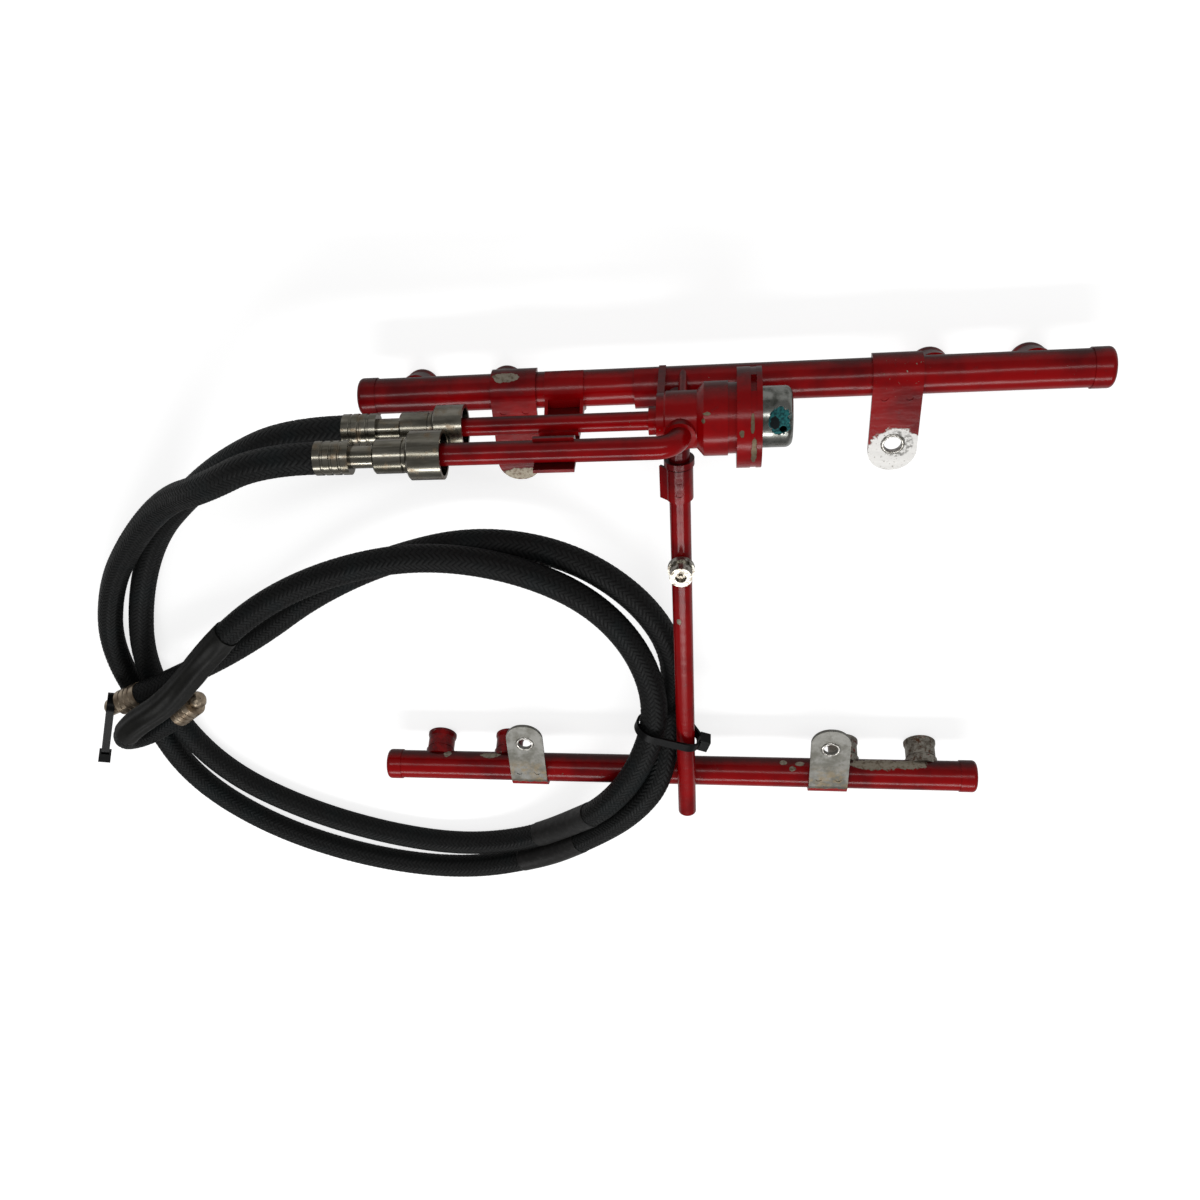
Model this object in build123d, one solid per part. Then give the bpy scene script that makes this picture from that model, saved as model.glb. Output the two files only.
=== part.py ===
from build123d import *
import math
import os

# Fuel rail assembly of a V engine: two injector rails joined by a crossover tube, a pressure regulator
# above the near rail, and two braided hoses that lie coiled beside it.
# +X runs along the rails, +Y to the near rail, +Z up. The origin is on the ground, midway between the
# rails and midway between the two banks' injector centres. All sizes are in millimetres.

# Rails
RAIL_OD = 15.875
RAIL_WALL = 1.25
NEAR_RAIL_SHIFT = 1.7
FAR_RAIL_SHIFT = 1.3
RAIL_SPREAD = 237.0
BANK_STAGGER = 22.35
CAP_OD = 16.9
CAP_LENGTH = 8.4
CAP_EDGE = 2.2
CAP_WALL = 2.4

# Injector cups
CUP_OD = 16.4
CUP_BODY_OD = 15.2
CUP_BORE = 13.8
CUP_REACH = 20.0
CUP_TILT = 17.4
CUP_FLOOR = 1.6
CUP_OVERLAP = 4.6
CUP_PITCH = 40.0
PAIR_PITCH = 223.5
NEAR_RAIL_PAST_CUPS = 26.45
FAR_RAIL_PAST_CUPS = 28.05
PORT_BORE = 4.0
LEAD_IN = 0.7
CUP_GROOVE_DEPTH = 0.3
CUP_GROOVE_WIDTH = 1.2
CUP_GROOVE_GAP = 0.9
CUP_LIP = 1.8
CUP_FLARE = 1.8

# Mounting brackets
BRACKET_SHEET = 1.8
BRACKET_WIDTH = 20.0
BRACKET_PITCH = 161.0
NEAR_BRACKET_SHIFT = -4.4
FAR_BRACKET_SHIFT = 2.4
TAB_LENGTH = 40.0
TAB_TIP_RADIUS = 9.6
BOLT_HOLE = 7.2
BOLT_OFFSET = 27.2
WRAP_BELOW = 28.0
WELD_MARK = 3.2
WELD_MARK_DEPTH = 0.3
WELD_MARK_PITCH = 10.0

# Crossover tube
CROSS_OD = 9.525
CROSS_WALL = 0.9
CROSS_X = -13.6
CROSS_PAST_FAR = 16.7
CROSS_PAST_NEAR = 0.8
JOINT_INSET = 3.6
CROSS_PLUG_LENGTH = 3.0
CROSS_PLUG_SEAT = 2.4
BRAZE_OD = 8.4
BRAZE_BORE = 3.6
COLLAR_OD = 13.4
COLLAR_LENGTH = 3.0
COLLAR_GAP = 0.8
SADDLE_SHEET = 1.3
SADDLE_START = 68.8
SADDLE_END = 85.4
SADDLE_WRAP = 205.0
SADDLE_FLANGE = 4.6
SADDLE_FLANGE_AT = 155.0
SADDLE_FLANGE_TURN = 65.0
SADDLE_MARKS = (0.3, 0.7)

# Service valve on the crossover
VALVE_Y = 33.5
VALVE_BASE_OD = 12.4
VALVE_BASE_HEIGHT = 2.6
VALVE_OD = 10.4
VALVE_HEIGHT = 8.4
VALVE_BORE = 5.3
VALVE_FOOT_OD = 7.4
CORE_OD = 5.3
CORE_HEIGHT = 6.4
CORE_BORE = 1.9
PIN_OD = 1.8
PIN_HEIGHT = 6.0
PIN_BUTTON_HEIGHT = 0.8

# Pressure regulator, stacked above the near rail
REGULATOR_RISE = 30.6
SMALL_OD = 24.0
SMALL_START = -18.6
SMALL_END = -5.3
BIG_START = -2.5
BIG_OD = 30.5
BIG_END = 7.2
STEP_OD = 29.0
FLANGE_START = 10.6
FLANGE_OD = 41.0
FLANGE_END = 16.0
CLAMP_END = 20.5
HOUSING_WALL = 2.2
CHAMBER_START = -12.5
CLAMP_WIDTH = 8.0
CAPSULE_END = 32.8
CAPSULE_RIM = 3.0
CAPSULE_SHEET = 1.2
CAPSULE_BEAD_STEP = 2.5
CAPSULE_BEAD = 2.6
NOSE_STEP = 2.5
NOSE_LENGTH = 11.0
NOSE_GAP = 1.9
SEAL_WIDTH = 2.4
SEAL_GROOVE = 0.7
CHAMBER_OD = 15.2
VENT_BORE = 3.0
VENT_X = 28.7
VENT_ANGLE = 5.0
CLAMP_GROOVE = 2.3
CLAMP_GROOVE_DEPTH = 0.25
CLAMP_SLOT = 9.0
CLAMP_SLOT_DEPTH = 3.0
CLAMP_SLOT_ANGLE = 73.0
STUB_OD = 3.7
STUB_X = -11.4
STUB_Y = 6.0

# Boss that takes the supply tube into the housing
BOSS_OD = 12.8
BOSS_X = -12.0
BOSS_BORE = 6.0
BOSS_RISE = 2.4
ELBOW_LEG = 0.6

# Sheet bracket under the regulator
PLATE_SHEET = 3.0
PLATE_WIDTH = 19.0
FOOT_LENGTH = 13.5
FOOT_SHEET = 1.8
FOOT_WRAP = 150.0
RING_OD = 12.0
RING_LENGTH = 3.4

# Supply and return tubes
SUPPLY_RISE = 52.8
SUPPLY_OD = 9.525
SUPPLY_WALL = 0.9
RETURN_OD = 7.94
RETURN_WALL = 0.8
RETURN_DEPTH = 4.0

# Line clip that holds both tubes above the rail
CLIP_SHEET = 1.5
CLIP_START = -71.0
CLIP_END = -54.0
CLIP_WRAP = 170.0
CLIP_LIP = 6.5
GUSSET_HEIGHT = 9.0
GUSSET_DEPTH = 6.0

# Hose couplings at the tubes
SUPPLY_FERRULE_START = -164.0
RETURN_FERRULE_START = -156.7
FERRULE_OD = 14.8
FERRULE_LENGTH = 15.3
CRIMP_DEPTH = 0.4
CRIMP_WIDTH = 1.4
NECK_OD = 9.6
NECK_LENGTH = 10.5
COUPLING_OD = 14.7
COUPLING_LENGTH = 12.4
COUPLING_GROOVE = 0.9
GROOVE_LENGTH = 2.8
STEM_BORE = 5.4
TUBE_SEAT = 8.0
SUPPLY_COLLAR_OD = 20.8
SUPPLY_COLLAR_LENGTH = 14.4
RETURN_COLLAR_OD = 19.6
RETURN_COLLAR_LENGTH = 12.8
COLLAR_WALL = 1.6

# Hoses
HOSE_OD = 14.0
HOSE_BORE = 8.0
HOSE_LEAD = 26.0
SLEEVE_WALL = 0.5
SLEEVE_GAP = 0.1
END_PIECE_OD = 9.8
END_PIECE_LENGTH = 10.0
RETURN_END_LENGTH = 5.0
END_PIECE_NECK = 7.6
END_NECK_LENGTH = 2.4
LABEL_SLEEVE_START = 0.400
LABEL_SLEEVE_END = 0.434
PLAIN_SLEEVE_START = 0.430
PLAIN_SLEEVE_END = 0.459
FOLD_SLEEVE_START = 0.900
FOLD_SLEEVE_END = 0.944

# Zip ties
TIE_WIDTH = 4.6
TIE_SHEET = 1.3
TIE_HEAD = 7.0
TIE_HEAD_HEIGHT = 5.4
TIE_SLACK = 1.2
TIE_Y = -81.0
TIE_TURN = 160.0
TIE_SUPPLY = (9.3, 22.4)
TIE_RETURN = (17.9, 34.2)
END_TIE_REACH = 10.2
END_TIE_SPAN = 3.5
END_TIE_R = 5.8
END_TIE_HEAD = (-338.0, -104.0, 30.0)
END_TIE_NORMAL = (-0.76, 0.32, 0.24)

# Derived positions
RAIL_R = RAIL_OD / 2
RAIL_LENGTHS = {
    "near": PAIR_PITCH + CUP_PITCH + 2 * NEAR_RAIL_PAST_CUPS,
    "far": PAIR_PITCH + CUP_PITCH + 2 * FAR_RAIL_PAST_CUPS,
}
RAIL_SHIFTS = {"near": NEAR_RAIL_SHIFT, "far": FAR_RAIL_SHIFT}
CUP_TILT_RAD = math.radians(CUP_TILT)
RAIL_Z = CUP_REACH * math.cos(CUP_TILT_RAD) + CUP_OD / 2 * math.sin(CUP_TILT_RAD)
RAIL_Y = RAIL_SPREAD / 2
NEAR_X = BANK_STAGGER / 2
REGULATOR_Z = RAIL_Z + REGULATOR_RISE
SUPPLY_Z = RAIL_Z + SUPPLY_RISE
CAPSULE_OD = FLANGE_OD - 2 * CLAMP_WIDTH
CAPSULE_BEAD_OD = CAPSULE_OD + 2 * CAPSULE_BEAD_STEP
NOSE_OD = CAPSULE_OD - 2 * NOSE_STEP
CROSS_Z = RAIL_Z + RAIL_R + CROSS_OD / 2
FLOOR = HOSE_OD / 2

nodes = {}


def turned(points):
    """Solid of revolution about X from (x, radius) points."""
    return revolve(make_face(Polyline(*points, close=True)), Axis.X)


def pipe(x0, x1, outer, inner):
    """Hollow cylinder along X."""
    return turned([(x0, inner / 2), (x0, outer / 2), (x1, outer / 2), (x1, inner / 2)])


def rod(x0, x1, diameter):
    """Solid cylinder along X."""
    return turned([(x0, 0), (x0, diameter / 2), (x1, diameter / 2), (x1, 0)])


def post(x, y, z0, z1, diameter):
    """Solid cylinder along Z."""
    return Pos(x, y, z0) * Cylinder(diameter / 2, z1 - z0, align=(Align.CENTER, Align.CENTER, Align.MIN))


def sector(inner, outer, start, end):
    """Flat ring sector between two radii, angles in degrees."""
    rim = CenterArc((0, 0), outer, start, end - start)
    root = CenterArc((0, 0), inner, start, end - start)
    return make_face([rim, root, Line(rim @ 0, root @ 0), Line(rim @ 1, root @ 1)])


def pressed(profile, x0, x1):
    """Sheet part: a profile in Y and Z carried along X."""
    return Pos(x0, 0, 0) * extrude(Plane.YZ * profile, amount=x1 - x0, dir=(1, 0, 0))


def bank_place(bank):
    """Each rail is the same part: the far one is turned half a turn about Z."""
    if bank == "near":
        return Pos(NEAR_X, RAIL_Y, RAIL_Z)
    return Pos(-NEAR_X, -RAIL_Y, RAIL_Z) * Rot(0, 0, 180)


def cup_axis(x):
    """Local frame of a cup: its Z runs out of the mouth, from the rail's axis."""
    return Pos(x, 0, 0) * Rot(-CUP_TILT, 0, 0) * Rot(180, 0, 0)


def cup_positions():
    near_pair = [PAIR_PITCH / 2 - CUP_PITCH / 2, PAIR_PITCH / 2 + CUP_PITCH / 2]
    return [-near_pair[1], -near_pair[0], near_pair[0], near_pair[1]]


def injector_cup():
    """Cup brazed under the rail, its mouth at the origin frame's reach along +Z."""
    lip_r = CUP_OD / 2
    body_r = CUP_BODY_OD / 2
    groove_start = RAIL_R + CUP_GROOVE_GAP
    groove_end = groove_start + CUP_GROOVE_WIDTH
    lip_start = CUP_REACH - CUP_LIP
    outline = [
        (CUP_OVERLAP, 0),
        (CUP_OVERLAP, lip_r),
        (groove_start, lip_r),
        (groove_start, body_r - CUP_GROOVE_DEPTH),
        (groove_end, body_r - CUP_GROOVE_DEPTH),
        (groove_end, body_r),
        (lip_start - CUP_FLARE, body_r),
        (lip_start, lip_r),
        (CUP_REACH - LEAD_IN / 2, lip_r),
        (CUP_REACH, lip_r - LEAD_IN / 2),
        (CUP_REACH, 0),
    ]
    body = Rot(0, -90, 0) * turned(outline)
    floor_height = RAIL_R + CUP_FLOOR
    bore = Pos(0, 0, floor_height) * Cylinder(
        CUP_BORE / 2, CUP_REACH - floor_height, align=(Align.CENTER, Align.CENTER, Align.MIN)
    )
    lead = Pos(0, 0, CUP_REACH - LEAD_IN) * Cone(
        CUP_BORE / 2, CUP_BORE / 2 + LEAD_IN, LEAD_IN, align=(Align.CENTER, Align.CENTER, Align.MIN)
    )
    port = Cylinder(PORT_BORE / 2, CUP_REACH, align=(Align.CENTER, Align.CENTER, Align.MIN))
    rail = Rot(0, 90, 0) * Cylinder(RAIL_R, 2 * CUP_OD)
    return body - bore - lead - port - rail


def rail_tube(bank):
    half = RAIL_LENGTHS[bank] / 2 - CAP_WALL
    shift = RAIL_SHIFTS[bank]
    tube = pipe(shift - half, shift + half, RAIL_OD, RAIL_OD - 2 * RAIL_WALL)
    for x in cup_positions():
        tube -= cup_axis(x) * Cylinder(PORT_BORE / 2, RAIL_OD, align=(Align.CENTER, Align.CENTER, Align.MIN))
    return tube


def end_cap():
    """Cup-shaped cap with its open mouth towards +X and its closed face at X = 0."""
    cap = turned(
        [
            (0, 0),
            (0, CAP_OD / 2),
            (CAP_LENGTH, CAP_OD / 2),
            (CAP_LENGTH, RAIL_R),
            (CAP_WALL, RAIL_R),
            (CAP_WALL, 0),
        ]
    )
    rim = cap.edges().filter_by(GeomType.CIRCLE).group_by(Axis.X)[0]
    return fillet(rim, CAP_EDGE)


def mounting_bracket():
    """Strap over the rail's outer side and top, with a flat tab inward. X = 0 is the bolt hole."""
    strap = sector(RAIL_R, RAIL_R + BRACKET_SHEET, -WRAP_BELOW, 90)
    tab = Pos(-TAB_LENGTH / 2, RAIL_R + BRACKET_SHEET / 2) * Rectangle(TAB_LENGTH, BRACKET_SHEET)
    part = pressed(strap + tab, -BRACKET_WIDTH / 2, BRACKET_WIDTH / 2)
    tip = part.edges().filter_by(Axis.Z).group_by(Axis.Y)[0]
    part = fillet(tip, TAB_TIP_RADIUS)
    part -= post(0, -BOLT_OFFSET, 0, RAIL_OD, BOLT_HOLE)
    top = RAIL_R + BRACKET_SHEET
    for x in (-WELD_MARK_PITCH / 2, WELD_MARK_PITCH / 2):
        part -= post(x, -WELD_MARK_PITCH / 2, top - WELD_MARK_DEPTH, top + 1, WELD_MARK)
    return part


# Rails, caps, cups and brackets: one set for each bank
for bank in ("near", "far"):
    place = bank_place(bank)
    nodes[f"{bank}_rail_tube"] = place * rail_tube(bank)
    half = RAIL_LENGTHS[bank] / 2
    left = Pos(RAIL_SHIFTS[bank] - half, 0, 0)
    right = Pos(RAIL_SHIFTS[bank] + half, 0, 0) * Rot(0, 0, 180)
    nodes[f"{bank}_end_cap_1"] = place * left * end_cap()
    nodes[f"{bank}_end_cap_2"] = place * right * end_cap()
    for i, x in enumerate(cup_positions(), start=1):
        nodes[f"{bank}_injector_cup_{i}"] = place * cup_axis(x) * injector_cup()
    shift = NEAR_BRACKET_SHIFT if bank == "near" else -FAR_BRACKET_SHIFT
    for i, x in enumerate((-BRACKET_PITCH / 2, BRACKET_PITCH / 2), start=1):
        nodes[f"{bank}_mounting_bracket_{i}"] = place * Pos(x + shift, 0, 0) * mounting_bracket()

# Crossover tube with its plug, the brazed saddles and the collar
cross_x = NEAR_X + CROSS_X
cross_far = -RAIL_Y - CROSS_PAST_FAR
cross_near = RAIL_Y + CROSS_PAST_NEAR
cross_place = Pos(cross_x, 0, CROSS_Z) * Rot(0, 0, 90)
cross_tube = pipe(cross_far, cross_near, CROSS_OD, CROSS_OD - 2 * CROSS_WALL)
cross_bar = cross_place * rod(cross_far - CROSS_PLUG_LENGTH, cross_near, CROSS_OD)
near_rail_bar = Pos(0, RAIL_Y, RAIL_Z) * rod(-PAIR_PITCH, PAIR_PITCH, RAIL_OD)
far_rail_bar = Pos(0, -RAIL_Y, RAIL_Z) * rod(-PAIR_PITCH, PAIR_PITCH, RAIL_OD)
nodes["crossover_tube"] = cross_place * cross_tube
plug_r = CROSS_OD / 2
plug = turned(
    [
        (cross_far + CROSS_PLUG_SEAT, 0),
        (cross_far + CROSS_PLUG_SEAT, plug_r - CROSS_WALL),
        (cross_far, plug_r - CROSS_WALL),
        (cross_far, plug_r),
        (cross_far - CROSS_PLUG_LENGTH / 2, plug_r),
        (cross_far - CROSS_PLUG_LENGTH, plug_r - CROSS_PLUG_LENGTH / 2),
        (cross_far - CROSS_PLUG_LENGTH, 0),
    ]
)
nodes["crossover_end_plug"] = cross_place * plug
near_plug = turned(
    [
        (cross_near - CROSS_PLUG_SEAT, 0),
        (cross_near - CROSS_PLUG_SEAT, plug_r - CROSS_WALL),
        (cross_near, plug_r - CROSS_WALL),
        (cross_near, plug_r),
        (cross_near + CROSS_PLUG_LENGTH / 2, plug_r),
        (cross_near + CROSS_PLUG_LENGTH, plug_r - CROSS_PLUG_LENGTH / 2),
        (cross_near + CROSS_PLUG_LENGTH, 0),
    ]
)
nodes["crossover_near_plug"] = cross_place * near_plug
joint_y = RAIL_Y - JOINT_INSET
for bank, y, bar in (("near", joint_y, near_rail_bar), ("far", -RAIL_Y, far_rail_bar)):
    saddle = post(cross_x, y, RAIL_Z, CROSS_Z, BRAZE_OD) - post(cross_x, y, RAIL_Z, CROSS_Z, BRAZE_BORE)
    nodes[f"{bank}_crossover_joint"] = saddle - bar - cross_bar
    drill = post(cross_x, y, RAIL_Z, CROSS_Z, BRAZE_BORE)
    nodes["crossover_tube"] -= drill
    nodes[f"{bank}_rail_tube"] -= drill
collar_start = SADDLE_END + COLLAR_GAP
collar = pipe(collar_start, collar_start + COLLAR_LENGTH, COLLAR_OD, CROSS_OD)
nodes["crossover_collar"] = cross_place * collar

# Stamped saddle on the crossover, with a sloping flange on one side
saddle_r = CROSS_OD / 2
half_wrap = SADDLE_WRAP / 2
saddle_face = sector(saddle_r, saddle_r + SADDLE_SHEET, 90 - half_wrap, 90 + half_wrap)
flange_face = Rot(0, 0, SADDLE_FLANGE_AT) * Pos(saddle_r + SADDLE_SHEET / 2, 0) * Rot(
    0, 0, SADDLE_FLANGE_TURN
) * Pos(SADDLE_FLANGE / 2, 0) * Rectangle(SADDLE_FLANGE, SADDLE_SHEET)
saddle_part = extrude(Plane.XZ * (saddle_face + flange_face), amount=SADDLE_END - SADDLE_START, dir=(0, 1, 0))
saddle_part = Pos(cross_x, SADDLE_START, CROSS_Z) * saddle_part
saddle_top = CROSS_Z + saddle_r + SADDLE_SHEET
for share in SADDLE_MARKS:
    mark_y = SADDLE_START + share * (SADDLE_END - SADDLE_START)
    saddle_part -= post(cross_x, mark_y, saddle_top - WELD_MARK_DEPTH, saddle_top + 1, WELD_MARK)
nodes["crossover_saddle"] = saddle_part

# Service valve, open at the top so that its core shows
valve_foot = CROSS_Z
valve_seat = CROSS_Z + CROSS_OD / 2 + LEAD_IN
valve_top = valve_seat + VALVE_HEIGHT
valve_bottom = valve_top - CORE_HEIGHT
valve = post(cross_x, VALVE_Y, valve_foot, valve_seat, VALVE_FOOT_OD)
valve += post(cross_x, VALVE_Y, valve_seat, valve_seat + VALVE_BASE_HEIGHT, VALVE_BASE_OD)
valve += post(cross_x, VALVE_Y, valve_seat, valve_top, VALVE_OD)
valve -= post(cross_x, VALVE_Y, valve_bottom, valve_top, VALVE_BORE)
valve -= post(cross_x, VALVE_Y, valve_foot, valve_top, BRAZE_BORE)
valve -= cross_bar
nodes["service_valve_body"] = valve
nodes["crossover_tube"] -= post(cross_x, VALVE_Y, CROSS_Z, valve_top, BRAZE_BORE)
core_top = valve_top - 2 * PIN_BUTTON_HEIGHT
core = post(cross_x, VALVE_Y, valve_bottom, core_top, CORE_OD)
core -= post(cross_x, VALVE_Y, valve_bottom, valve_top, CORE_BORE)
nodes["service_valve_core"] = core
pin_top = valve_top - PIN_BUTTON_HEIGHT / 2
nodes["service_valve_pin"] = post(cross_x, VALVE_Y, pin_top - PIN_HEIGHT, pin_top, PIN_OD)

# Pressure regulator housing
reg_place = Pos(NEAR_X, RAIL_Y, REGULATOR_Z)
small_r = SMALL_OD / 2
big_r = BIG_OD / 2
housing_profile = [
    (SMALL_START, 0),
    (SMALL_START, small_r - LEAD_IN),
    (SMALL_START + LEAD_IN, small_r),
    (SMALL_END, small_r),
    (BIG_START, big_r),
    (BIG_END, big_r),
    (BIG_END, STEP_OD / 2),
    (FLANGE_START, STEP_OD / 2),
    (FLANGE_START, FLANGE_OD / 2),
    (FLANGE_END, FLANGE_OD / 2),
    (FLANGE_END, CAPSULE_BEAD_OD / 2),
    (FLANGE_END - CAPSULE_BEAD, CAPSULE_BEAD_OD / 2),
    (FLANGE_END - CAPSULE_BEAD, NOSE_OD / 2 + NOSE_GAP),
    (SMALL_END + HOUSING_WALL, NOSE_OD / 2 + NOSE_GAP),
    (SMALL_END + HOUSING_WALL, CHAMBER_OD / 2),
    (CHAMBER_START, CHAMBER_OD / 2),
    (CHAMBER_START, 0),
]
housing = reg_place * turned(housing_profile)
housing_bar = reg_place * rod(SMALL_START, SMALL_END, SMALL_OD)
return_axis = Pos(0, RAIL_Y, REGULATOR_Z)
housing -= return_axis * rod(NEAR_X + SMALL_START, NEAR_X + SMALL_START + RETURN_DEPTH, RETURN_OD)
return_bore = RETURN_OD - 2 * RETURN_WALL
housing -= return_axis * rod(NEAR_X + SMALL_START, NEAR_X + CHAMBER_START, return_bore)
boss_x = NEAR_X + BOSS_X
housing -= post(boss_x, RAIL_Y, REGULATOR_Z, REGULATOR_Z + small_r, BOSS_BORE)
housing -= post(cross_x, joint_y, REGULATOR_Z - small_r, REGULATOR_Z, BRAZE_BORE)
nodes["regulator_housing"] = housing

# Feed joint between the crossover and the housing above it
feed_bore = post(cross_x, joint_y, CROSS_Z, REGULATOR_Z, BRAZE_BORE)
feed = post(cross_x, joint_y, CROSS_Z, REGULATOR_Z, BRAZE_OD) - feed_bore
nodes["housing_feed_joint"] = feed - cross_bar - housing_bar
nodes["crossover_tube"] -= feed_bore

# Supply tube: straight from its coupling, then bent down into a ring on the housing
supply_seat = NEAR_X + SUPPLY_FERRULE_START + FERRULE_LENGTH + NECK_LENGTH + COUPLING_LENGTH + GROOVE_LENGTH - TUBE_SEAT
elbow_end = REGULATOR_Z + small_r
elbow_path = FilletPolyline(
    (supply_seat, RAIL_Y, SUPPLY_Z),
    (boss_x, RAIL_Y, SUPPLY_Z),
    (boss_x, RAIL_Y, elbow_end),
    radius=SUPPLY_Z - elbow_end - ELBOW_LEG,
)
elbow_start = Plane(origin=elbow_path @ 0, z_dir=elbow_path % 0)
elbow_bar = sweep(elbow_start * Circle(SUPPLY_OD / 2), path=elbow_path)
elbow_bore = sweep(elbow_start * Circle(SUPPLY_OD / 2 - SUPPLY_WALL), path=elbow_path)
nodes["supply_tube"] = elbow_bar - elbow_bore
boss = post(boss_x, RAIL_Y, REGULATOR_Z, elbow_end + BOSS_RISE, BOSS_OD)
boss -= post(boss_x, RAIL_Y, REGULATOR_Z, elbow_end, BOSS_BORE)
nodes["supply_boss"] = boss - housing_bar - elbow_bar

# Regulator capsule, clamp ring and seal
bead_start = FLANGE_END - CAPSULE_BEAD
nose_start = bead_start - NOSE_LENGTH
seal_start = bead_start - 2 * SEAL_WIDTH
cap_r = CAPSULE_OD / 2
capsule_profile = [
    (nose_start, 0),
    (nose_start, NOSE_OD / 2),
    (seal_start, NOSE_OD / 2),
    (seal_start, NOSE_OD / 2 - SEAL_GROOVE),
    (seal_start + SEAL_WIDTH, NOSE_OD / 2 - SEAL_GROOVE),
    (seal_start + SEAL_WIDTH, NOSE_OD / 2),
    (bead_start, NOSE_OD / 2),
    (bead_start, CAPSULE_BEAD_OD / 2),
    (FLANGE_END, CAPSULE_BEAD_OD / 2),
    (FLANGE_END, cap_r),
    (CAPSULE_END, cap_r),
    (CAPSULE_END, 0),
    (CAPSULE_END - CAPSULE_SHEET, 0),
    (CAPSULE_END - CAPSULE_SHEET, cap_r - CAPSULE_SHEET),
    (FLANGE_END, cap_r - CAPSULE_SHEET),
    (FLANGE_END, 0),
]
capsule = turned(capsule_profile)
rim_edges = capsule.edges().filter_by(GeomType.CIRCLE).group_by(Axis.X)[-1]
capsule = fillet(rim_edges, CAPSULE_RIM)
capsule = reg_place * capsule
vent = Rot(-VENT_ANGLE, 0, 0) * post(VENT_X, 0, cap_r / 2, 2 * cap_r, VENT_BORE)
nodes["regulator_capsule"] = capsule - reg_place * vent
clamp_r = FLANGE_OD / 2
groove_end = FLANGE_END + CLAMP_GROOVE
clamp = turned(
    [
        (FLANGE_END, cap_r),
        (FLANGE_END, clamp_r - CLAMP_GROOVE_DEPTH),
        (groove_end, clamp_r - CLAMP_GROOVE_DEPTH),
        (groove_end, clamp_r),
        (CLAMP_END, clamp_r),
        (CLAMP_END, cap_r),
    ]
)
slot = Rot(-CLAMP_SLOT_ANGLE, 0, 0) * Pos(FLANGE_END, 0, clamp_r) * Box(
    CLAMP_GROOVE, CLAMP_SLOT, CLAMP_SLOT_DEPTH, align=(Align.MIN, Align.CENTER, Align.MAX)
)
nodes["regulator_clamp_ring"] = reg_place * (clamp - slot)
seal_bore = NOSE_OD - 2 * SEAL_GROOVE
seal = pipe(seal_start, seal_start + SEAL_WIDTH, NOSE_OD + 2 * NOSE_GAP, seal_bore)
nodes["regulator_seal"] = reg_place * seal

# Drain stub between the rail and the housing
stub_y = RAIL_Y + STUB_Y
stub_x = NEAR_X + STUB_X
stub = post(stub_x, stub_y, RAIL_Z, REGULATOR_Z, STUB_OD)
nodes["drain_stub"] = stub - near_rail_bar - housing_bar

# Sheet bracket that carries the housing and the return tube on the rail
plate_end = NEAR_X + SMALL_START
plate_start = plate_end - PLATE_SHEET
plate_face = Pos(0, REGULATOR_RISE / 2) * Rectangle(PLATE_WIDTH, REGULATOR_RISE)
plate_face += Pos(0, REGULATOR_RISE) * Circle(PLATE_WIDTH / 2 + FOOT_SHEET)
foot_face = sector(RAIL_R, RAIL_R + FOOT_SHEET, 90 - FOOT_WRAP / 2, 90 + FOOT_WRAP / 2)
bracket = pressed(plate_face - Circle(RAIL_R) - Pos(0, REGULATOR_RISE) * Circle(RETURN_OD / 2), plate_start, plate_end)
bracket += pressed(foot_face, plate_end - FOOT_LENGTH, plate_end)
bracket = Pos(0, RAIL_Y, RAIL_Z) * bracket
nodes["regulator_bracket"] = bracket
ring = pipe(plate_start - RING_LENGTH, plate_start, RING_OD, RETURN_OD)
nodes["return_tube_ring"] = return_axis * ring

# Supply and return lines: ferrule, coupling body, collar and steel tube
LINES = {
    "supply": (SUPPLY_Z, SUPPLY_FERRULE_START, SUPPLY_OD, SUPPLY_COLLAR_OD, SUPPLY_COLLAR_LENGTH),
    "return": (REGULATOR_Z, RETURN_FERRULE_START, RETURN_OD, RETURN_COLLAR_OD, RETURN_COLLAR_LENGTH),
}
return_end = NEAR_X + SMALL_START + RETURN_DEPTH


def ferrule(x0):
    """Crimped sleeve with three shallow rings; the hose butts against its left face."""
    r = FERRULE_OD / 2
    points = [(x0, HOSE_BORE / 2), (x0, r)]
    pitch = FERRULE_LENGTH / 4
    for i in (1, 2, 3):
        centre = x0 + i * pitch
        points += [(centre - CRIMP_WIDTH / 2, r), (centre - CRIMP_WIDTH / 4, r - CRIMP_DEPTH)]
        points += [(centre + CRIMP_WIDTH / 4, r - CRIMP_DEPTH), (centre + CRIMP_WIDTH / 2, r)]
    points += [(x0 + FERRULE_LENGTH, r), (x0 + FERRULE_LENGTH, HOSE_BORE / 2)]
    return turned(points)


def coupling(x0, tube_od):
    """Neck and body; the steel tube seats in the body's right end."""
    r = COUPLING_OD / 2
    body_start = x0 + NECK_LENGTH
    groove_start = body_start + COUPLING_LENGTH
    end = groove_start + GROOVE_LENGTH
    seat = end - TUBE_SEAT
    points = [
        (x0, STEM_BORE / 2),
        (x0, NECK_OD / 2),
        (body_start, NECK_OD / 2),
        (body_start, r - LEAD_IN),
        (body_start + LEAD_IN, r),
        (groove_start, r),
        (groove_start, r - COUPLING_GROOVE),
        (groove_start + GROOVE_LENGTH / 3, r - COUPLING_GROOVE),
        (groove_start + GROOVE_LENGTH / 3, r),
        (groove_start + GROOVE_LENGTH * 2 / 3, r),
        (groove_start + GROOVE_LENGTH * 2 / 3, r - COUPLING_GROOVE),
        (end, r - COUPLING_GROOVE),
        (end, tube_od / 2),
        (seat, tube_od / 2),
        (seat, STEM_BORE / 2),
    ]
    return turned(points)


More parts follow.
